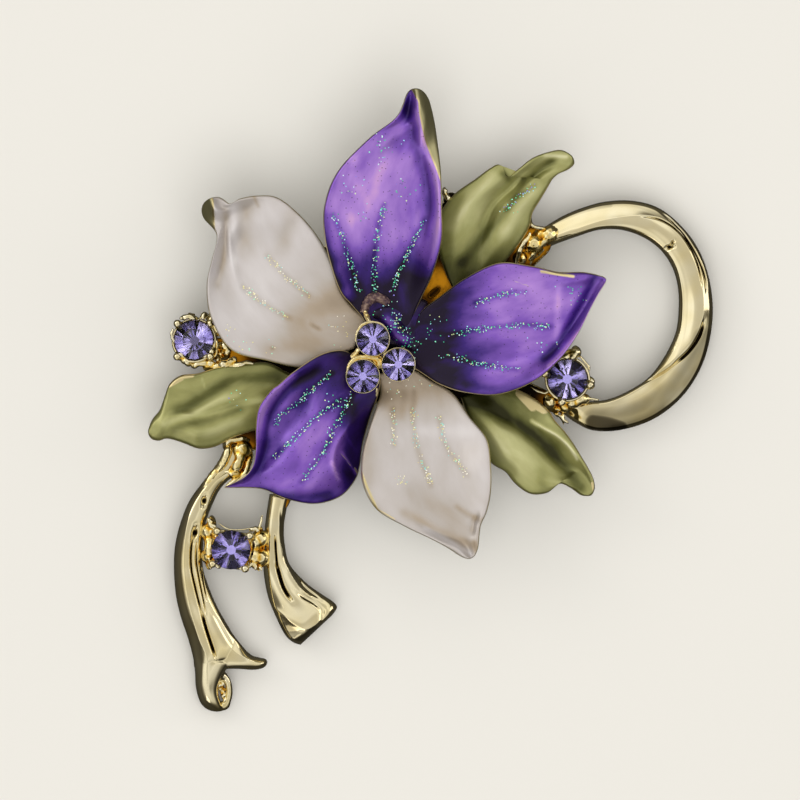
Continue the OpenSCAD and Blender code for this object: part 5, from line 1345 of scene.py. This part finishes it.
def glitter_on(petal, material, seed):
    """The flakes along a petal's veins and in its loose patches."""
    name = petal.name.removesuffix("_enamelled")
    rng = random.Random(seed)
    spots = []
    for line in VEINS.get(name, []):
        line = np.array(line)
        steps = np.linalg.norm(np.diff(line, axis=0), axis=1)
        run = np.concatenate([[0], np.cumsum(steps)])
        for _ in range(int(run[-1] * FLAKES_PER_MM)):
            at = rng.random() * run[-1]
            spots.append([np.interp(at, run, line[:, k]) + rng.gauss(0, FLAKE_STRAY) for k in (0, 1)])
    for x, y, radius, count in PATCHES.get(name, []):
        spots += [[x + rng.gauss(0, radius / 2), y + rng.gauss(0, radius / 2)] for _ in range(count)]
    points = [v.co for v in petal.data.vertices]
    search = BVHTree.FromPolygons(points, [p.vertices for p in petal.data.polygons])
    tints = PALE_FLAKE_TINTS if "pearl" in name else FLAKE_TINTS
    flakes, colours = [], []
    for x, y in spots:
        above = Vector((x + FLOWER_AT[0], y + FLOWER_AT[1], 30)) * MM
        place, normal, _, _ = search.ray_cast(above, Vector((0, 0, -1)))
        if place is None or normal.z < STEEPEST:
            continue
        one = flake(rng, place / MM - Vector(FLOWER_AT), normal, rng.uniform(*FLAKE_WIDTHS))
        flakes.append(one)
        colours += [linear(rng.choice(tints))] * len(one[0])
    make_piece(name + "_glitter", together(flakes), [material], [], {"tint": colours}, smooth=False)


def cup_matrix(cup):
    """A setting's own frame, with z = 0 at the girdle."""
    way, lean = math.radians(cup.lean_way), math.radians(cup.lean)
    leaning = (Matrix.Rotation(way, 4, "Z") @ Matrix.Rotation(lean, 4, "Y")
               @ Matrix.Rotation(-way, 4, "Z"))
    return Matrix.Translation((cup.x, cup.y, cup.girdle)) @ leaning


def setting_shape(cup):
    """A square foot, a round cup and four bead prongs, cast as one. The profiles are radius and
    height, from the outside bottom over the rim to the inside bottom."""
    foot = lathe([[FOOT_HALF, -CUP_DEPTH], [FOOT_HALF, -FOOT_DROP], [1.5, -FOOT_DROP + 0.05],
                  [0.5, -CUP_DEPTH]], squared=2)
    wall = cup.radius
    rim = -cup.rim_drop
    seat = min(OUTER_STONE_D / 2 + STONE_GAP, wall - 0.2)
    bowl = lathe([[wall - 0.1, -CUP_DEPTH + 0.2], [wall, rim - 0.25], [wall - 0.08, rim - 0.05],
                  [(wall + seat) / 2, rim], [seat, rim - 0.08], [seat - 0.1, -0.5],
                  [0.9, -1.6], [0.6, -CUP_DEPTH + 0.2]])
    prongs = []
    for k in range(4):
        turn = math.radians(cup.turn + 90 * k)
        x, y = PRONG_AT * math.cos(turn), PRONG_AT * math.sin(turn)
        # A bead stands on a post that lies a little further in
        post = bar([x * 0.97, y * 0.97, PRONG_POST_R], [x * 0.96, y * 0.96, PRONG_POST_R],
                   -CUP_DEPTH + 0.4, 0.0)
        prongs += [post, ball(x, y, 0.02, PRONG_R, tall=0.85)]
    turned = Matrix.Rotation(math.radians(cup.turn), 4, "Z")
    shape = cast([moved(foot, turned), bowl] + prongs, voxel=0.1, rounds=3)
    return moved(shape, cup_matrix(cup))


def stone_shape(diameter, sides=12):
    """A cut stone with its girdle's top at z = 0: table, crown facets, girdle, and a pointed back
    with its point cut off. Gives the shape, and 0 for each facet of the crown or 1 for the rest."""
    r = diameter / 2
    g, b, n = sides, 3 * sides, 2 * sides
    points = (circle(TABLE_SHARE * r, CROWN_SHARE * diameter, sides) + circle(r, 0, n)
              + circle(r, -GIRDLE, n)
              + circle(BACK_SHARE * r, -GIRDLE - BACK_HEIGHT_SHARE * diameter, n))
    crown = [list(range(sides))]
    for k in range(sides):
        nxt = (k + 1) % sides
        crown += [[k, g + 2 * k, g + 2 * k + 1], [k, g + 2 * k + 1, nxt],
                  [nxt, g + 2 * k + 1, g + (2 * k + 2) % n]]
    belt = [[g + k, b + k, b + (k + 1) % n, g + (k + 1) % n] for k in range(n)]
    back = [[b + k, b + n + k, b + n + (k + 1) % n, b + (k + 1) % n] for k in range(n)]
    back.append(list(range(b + n, b + 2 * n))[::-1])
    return (np.array(points), crown + belt + back), [0] * len(crown) + [1] * len(belt + back)


# Painted reflections on the foil: how light a pair of back facets is, how many single ones stay dark, and
# how light the cut point is
FACET_LIGHTS = [0.4, 0.55, 0.65, 0.7, 0.85, 1.0]
DARK_FACETS = 0.27
POINT_LIGHT = 0.42


def make_stone(name, diameter, matrix, glass, foil, seed):
    """A stone whose back facets go in pairs, each pair painted as bright as chance has it, with single
    facets painted dark between some of them, as painted reflections."""
    shape, backed = stone_shape(diameter)
    stone = make_piece(name + "_cut", moved(shape, matrix), [glass, foil], [name],
                       face_materials=backed, smooth=False)
    rng = random.Random(seed)
    # Painted reflections: each back facet's brightness is set in the foil's colour
    pairs = [rng.choice(FACET_LIGHTS) for _ in backed]
    facets = [0.0 if rng.random() < DARK_FACETS else pairs[k // 2] for k in range(len(backed))]
    facets[-1] = POINT_LIGHT
    stone.data.attributes.new("facet", "FLOAT", "FACE").data.foreach_set("value", facets)


def centre_cup_shape():
    """Three thin round bezels on a post, with solder between them."""
    outer = CENTRE_STONE_D / 2 + BEZEL_OUT
    inner = CENTRE_STONE_D / 2 + BEZEL_IN
    bowl = lathe([[outer, CLUSTER_FLOOR], [outer, CLUSTER_RIM + 0.02],
                  [outer - 0.04, CLUSTER_RIM + 0.08], [inner, CLUSTER_RIM + 0.04],
                  [inner, CLUSTER_RIM - 0.2], [0.2, CLUSTER_RIM - 1.6], [0.2, CLUSTER_FLOOR]])
    bowls = [moved(bowl, Matrix.Translation((x, y, 0))) for x, y in CENTRE_STONES_AT]
    post = bar([0, 0, POST_R], [0.01, 0, POST_R], PLATE_TOP + STONE_GAP, CLUSTER_FLOOR + 0.3, 32)
    return together(bowls + [post, ball(*BEZEL_SOLDER, tall=0.9)])


# Materials, once each
GOLD = gold_plate()
PRESSED_GOLD = pressed_gold()
SHADED = shaded_gold()
VIOLET = violet_enamel()
RUBBED = rubbed_enamel()
PEARL = pearl_enamel()
OLIVE = olive_enamel()
GLASS = violet_glass()
FOIL = mirror_foil()
FLAKES = glitter()

# Petals and leaves. Columns: name, table, wall, how thin the enamel lies as enamelled_sheet takes
# it, enamel, slot
SHEETS = [
    ["petal_purple_top", TOP_PETAL, PETAL_WALL, (3.4, 5.6, 0.04, 0.6), VIOLET, "purple_enamel"],
    ["petal_purple_right", RIGHT_PETAL, PETAL_WALL, (3.0, 5.2, 0.02, 0.53), VIOLET, "purple_enamel"],
    ["petal_purple_lower", LOWER_PETAL, PETAL_WALL, (0.8, 4.2, 0.06, 0.43), VIOLET, "purple_enamel"],
    ["petal_pearl_left", PEARL_LEFT, PETAL_WALL, (0.5, 4.2, 0.36, 0.66), PEARL, "pearl_enamel"],
    ["petal_pearl_lower", PEARL_LOWER, PETAL_WALL, (1.5, 3.4, 0.32, 0.64), PEARL, "pearl_enamel"],
    ["leaf_upper", UPPER_LEAF, LEAF_WALL, (0.5, 3.5, 0.3, 0.57), OLIVE, "green_enamel"],
    ["leaf_left", LEFT_LEAF, LEAF_WALL, (0.5, 2.5, 0.32, 0.5), OLIVE, "green_enamel"],
    ["leaf_lower", LOWER_LEAF, LEAF_WALL, (0.0, 2.5, 0.26, 0.54), OLIVE, "green_enamel"]]
for seed, (name, rows, wall, thin, material, slot) in enumerate(SHEETS):
    sheet = lay_sheet(name, rows, wall, tip=0.8, ripple=RIPPLE)
    turn = TOP_PETAL_TURN if name == "petal_purple_top" else None
    piece = enamelled_sheet(name, sheet, material, thin, turn)
    if name in VEINS or name in PATCHES:
        glitter_on(piece, FLAKES, seed)

# Ribbon. The long tail is cast from its band, its two prongs and the rolled lip of the lower one,
# which is thinner along its middle
loop = lay_sheet("loop", LOOP, LOOP_WALL, rim=0.4, per_row=24, across_n=52, ripple=RIPPLE, length=4.0)
short_tail = lay_sheet("short_tail", SHORT_TAIL, TAIL_WALL, rim=0.45, per_row=24, ripple=RIPPLE)
long_band = lay_sheet("long_tail", LONG_TAIL, TAIL_WALL, rim=0.5, per_row=14, ripple=RIPPLE)
right = lay_sheet("prong_right", PRONG_RIGHT, TAIL_WALL - 0.6, tip=0.6, rim=0.4, per_row=20)
lower = lay_sheet("prong_lower", PRONG_LOWER, TAIL_WALL - 0.4, tip=0.7, rim=0.4, per_row=20)
lip = oval((-15.95, -33.4, 1.6), (0.72, 0, 0), (0, 1.5, 0.3), range(-100, 121, 20))
long_parts = [sheet_shape(part) for part in (long_band, right, lower)]
long_parts.append(wire(lip, [0.5] * 3 + [0.36] * 6 + [0.5] * 3))
for name, shape in (("loop", sheet_shape(loop)),
                    ("short_tail", sheet_shape(short_tail)),
                    ("long_tail", cast(long_parts, voxel=0.07, rounds=14))):
    carved, slots = carve(shape, name)
    make_piece("ribbon_" + name, carved, [GOLD], ["ribbon_frame"], {"slot": slots})

# Frame behind the flower: its faces that look up get the gold with painted light and shade, as they lie in
# the flower's shade
bars = []
for (x0, y0, z0, r0), (x1, y1, z1, r1) in ARMS:
    low = (z0 + z1) / 2
    bars.append(bar([x0, y0, r0], [x1, y1, r1], low, low + PLATE_THICK))
arms = cast(bars, voxel=0.22, rounds=2)
plan = arms[0][:, :2]
lit = np.max([np.exp(-(np.hypot(*(plan - [x, y]).T) / r) ** 4) for x, y, r in LIT_PLATE], axis=0)
# The hole in the plate is painted dark, as shade
lit *= 1 - stroke(plan, PLATE_HOLE, HOLE_HALF)
upward = vertex_normals(arms)[:, 2] > 0.6
make_piece("frame_arms", arms, [GOLD, SHADED], ["ribbon_frame"], {"lit": lit},
           face_materials=[int(upward[f].all()) for f in arms[1]])

# Lumps of solder, with ridges and folds pressed into them
chance = random.Random(7)
heap = [ball(x, y, z, r * LUMP_SHARE) for x, y, z, r in LUMPS]
heap += [strand(chance, points, radius) for radius, points in STRANDS]
heap += [fold for row in PRESSED for fold in pressed_folds(chance, row)]
joints = crumple(cast(heap, voxel=0.075, rounds=6), depth=0.03, length=0.7)
make_piece("pressed_joints", joints, [PRESSED_GOLD], ["ribbon_frame"],
           {"hollow": hollows(joints, 20)})

# The flower's neck, and the rim of the hole beside it
solder = crumple(cast(wires(NECK_SOLDER), voxel=0.06, rounds=2), depth=0.03, length=0.4)
make_piece("neck_solder", solder, [PRESSED_GOLD], ["centre_cups"],
           {"hollow": hollows(solder, 12)})
arch = crumple(cast(wires(NECK_ARCH), voxel=0.06, rounds=1), depth=0.09, length=0.35)
make_piece("neck_arch", arch, [RUBBED], ["petal_purple_top"])
web = cast(wires(NECK_WEBS, sides=16), voxel=0.1, rounds=30)
# The webs' painted highlight along their fold
thinness_and_painted_light = NECK_FOLD_LIGHT * stroke(web[0][:, :2], NECK_FOLD, NECK_FOLD_HALF)
neck = make_piece("neck_web_enamelled", web, [VIOLET], ["petal_purple_right"],
                  {"gilt": np.zeros(len(thinness_and_painted_light)), "thinness_and_painted_light": thinness_and_painted_light, "lay": web[0]})
glitter_on(neck, FLAKES, 20)
(x0, y0), (x1, y1) = PLATE_HOLE
along = ((x1 - x0) * HOLE_REACH, (y1 - y0) * HOLE_REACH, 0)
beside = (-along[1] * HOLE_ROUND, along[0] * HOLE_ROUND, 0)
middle = ((x0 + x1) / 2, (y0 + y1) / 2, PLATE_TOP + 0.03)
rim = wire(oval(middle, along, beside, range(0, 391, 30)), HOLE_RIM_R)
# The hole's rim is painted half lit
make_piece("hole_rim", rim, [SHADED], ["ribbon_frame"], {"lit": np.full(len(rim[0]), 0.6)})

# Settings and stones
for side, cup in CUPS.items():
    make_piece("setting_" + side, setting_shape(cup), [GOLD], ["ribbon_frame"])
    make_stone("stone_" + side, OUTER_STONE_D, cup_matrix(cup), GLASS, FOIL, cup.stone_seed)
make_piece("centre_bezels", centre_cup_shape(), [GOLD], ["centre_cups"])
for k, (x, y) in enumerate(CENTRE_STONES_AT):
    turn = Matrix.Rotation(math.radians(CENTRE_STONE_TURN * k), 4, "Z")
    seat = Matrix.Translation((x, y, CLUSTER_RIM)) @ turn
    make_stone(f"stone_centre_{k + 1}", CENTRE_STONE_D, seat, GLASS, FOIL, k)

# The pin keeps its solid, with its sharp edges just broken
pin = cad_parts["pin_back"]
pin.data.materials.clear()
pin.data.materials.append(GOLD)
broken = pin.modifiers.new("broken_edges", "BEVEL")
broken.width = 0.08 * MM
broken.segments = 2


# Stage, light and camera

def softbox(name, place, size, radiance, tint):
    """A square softbox that faces the brooch. radiance is how bright its face looks."""
    light = bpy.data.lights.new(name, "AREA")
    light.shape = "SQUARE"
    light.size = size
    light.energy = radiance * math.pi * size * size
    light.color = linear(tint)[:3]
    box = bpy.data.objects.new(name, light)
    box.location = place
    box.rotation_euler = (-Vector(place)).to_track_quat("-Z", "Y").to_euler()
    bpy.context.scene.collection.objects.link(box)


# Softboxes round the brooch: name, place and size in metres, how bright the face looks
SOFTBOXES = [
    ["softbox_left", (-0.55, 0.30, 0.42), 0.3, 1.6],
    ["softbox_right", (0.62, 0.14, 0.24), 0.32, 1.5],
    ["softbox_low", (-0.25, -0.55, 0.28), 0.25, 1.2]]
SOFTBOX_TINT = "#fffaf2"

# The big softbox overhead is brighter towards the upper left
KEY_AXIS = Vector((-0.30, 0.38, 0.87)).normalized()

# Half the board's width, and how far it lies below the brooch, both in metres
BOARD_HALF = 1.5
BOARD_DROP = 0.00002


def studio():
    """A matt pale board under a big ring of softboxes, with the dark room low down round it. The
    board itself doesn't show in the metal: the sky below the horizon takes its place."""
    board = bpy.data.meshes.new("floor")
    corners = [(x * BOARD_HALF, y * BOARD_HALF, -BOARD_DROP)
               for x, y in ((-1, -1), (1, -1), (1, 1), (-1, 1))]
    board.from_pydata(corners, [], [(0, 1, 2, 3)])
    board.materials.append(backdrop_board())
    floor = bpy.data.objects.new("floor", board)
    bpy.context.scene.collection.objects.link(floor)
    floor.visible_glossy = False
    for name, place, size, radiance in SOFTBOXES:
        softbox(name, place, size, radiance, SOFTBOX_TINT)
    # The light of the whole room, as one wide sun that doesn't show in the metal
    fill = bpy.data.lights.new("fill", "SUN")
    fill.energy = 1.5
    fill.angle = math.radians(50)
    far_off = bpy.data.objects.new("fill", fill)
    far_off.rotation_euler = Vector((0.05, -0.25, 0.97)).to_track_quat("Z", "Y").to_euler()
    far_off.visible_glossy = False
    bpy.context.scene.collection.objects.link(far_off)

    world = bpy.data.worlds.new("studio")
    world.use_nodes = True
    tree = world.node_tree
    tree.nodes.clear()
    place = add(tree, "TexCoord").outputs["Generated"]
    height = add(tree, "SeparateXYZ", {"Vector": place}).outputs["Z"]
    level = add(tree, "MapRange", {"Value": height, "From Min": -1.0, "From Max": 1.0}).outputs["Result"]
    # Board, dark room, a ring of softboxes 25 to 60 degrees off the top, and a duller sheet inside it
    sky = add(tree, "ValToRGB", {"Fac": level}, stops=[
        (0.0, "#7b776c"), (0.38, "#6d6a5f"), (0.5, "#57534a"), (0.58, "#666257"), (0.68, "#8f8b81"),
        (0.79, "#efede7"), (0.91, "#fbfaf7"), (0.955, "#cecbc4"), (1.0, "#c4c1ba")])
    towards = add(tree, "VectorMath", {0: place, 1: KEY_AXIS}, operation="DOT_PRODUCT").outputs["Value"]
    side = add(tree, "MapRange", {"Value": towards, "From Min": -0.6, "From Max": 1.0, "To Min": 0.25,
                                  "To Max": 1.25})
    glow = add(tree, "Background", {"Color": sky.outputs["Color"], "Strength": side.outputs["Result"]})
    add(tree, "OutputWorld", {"Surface": glow.outputs["Background"]})
    bpy.context.scene.world = world
    bpy.context.scene.view_settings.view_transform = "Standard"


# The photo looks straight down at a square 80 mm wide, whose middle is here in the frame, in
# millimetres
VIEW_MIDDLE = (-3.1, 0.12, 6.0)
VIEW_WIDTH = 80.0
LENS = 600.0
SENSOR = 36.0


def camera():
    """A camera straight above, so far off that the picture is nearly without perspective."""
    eye = bpy.data.cameras.new("camera")
    eye.lens = LENS
    eye.sensor_width = SENSOR
    seen_from = bpy.data.objects.new("camera", eye)
    far = VIEW_WIDTH * LENS / SENSOR
    seen_from.location = (VIEW_MIDDLE[0] * MM, VIEW_MIDDLE[1] * MM, (VIEW_MIDDLE[2] + far) * MM)
    bpy.context.scene.collection.objects.link(seen_from)
    bpy.context.scene.camera = seen_from


studio()
camera()
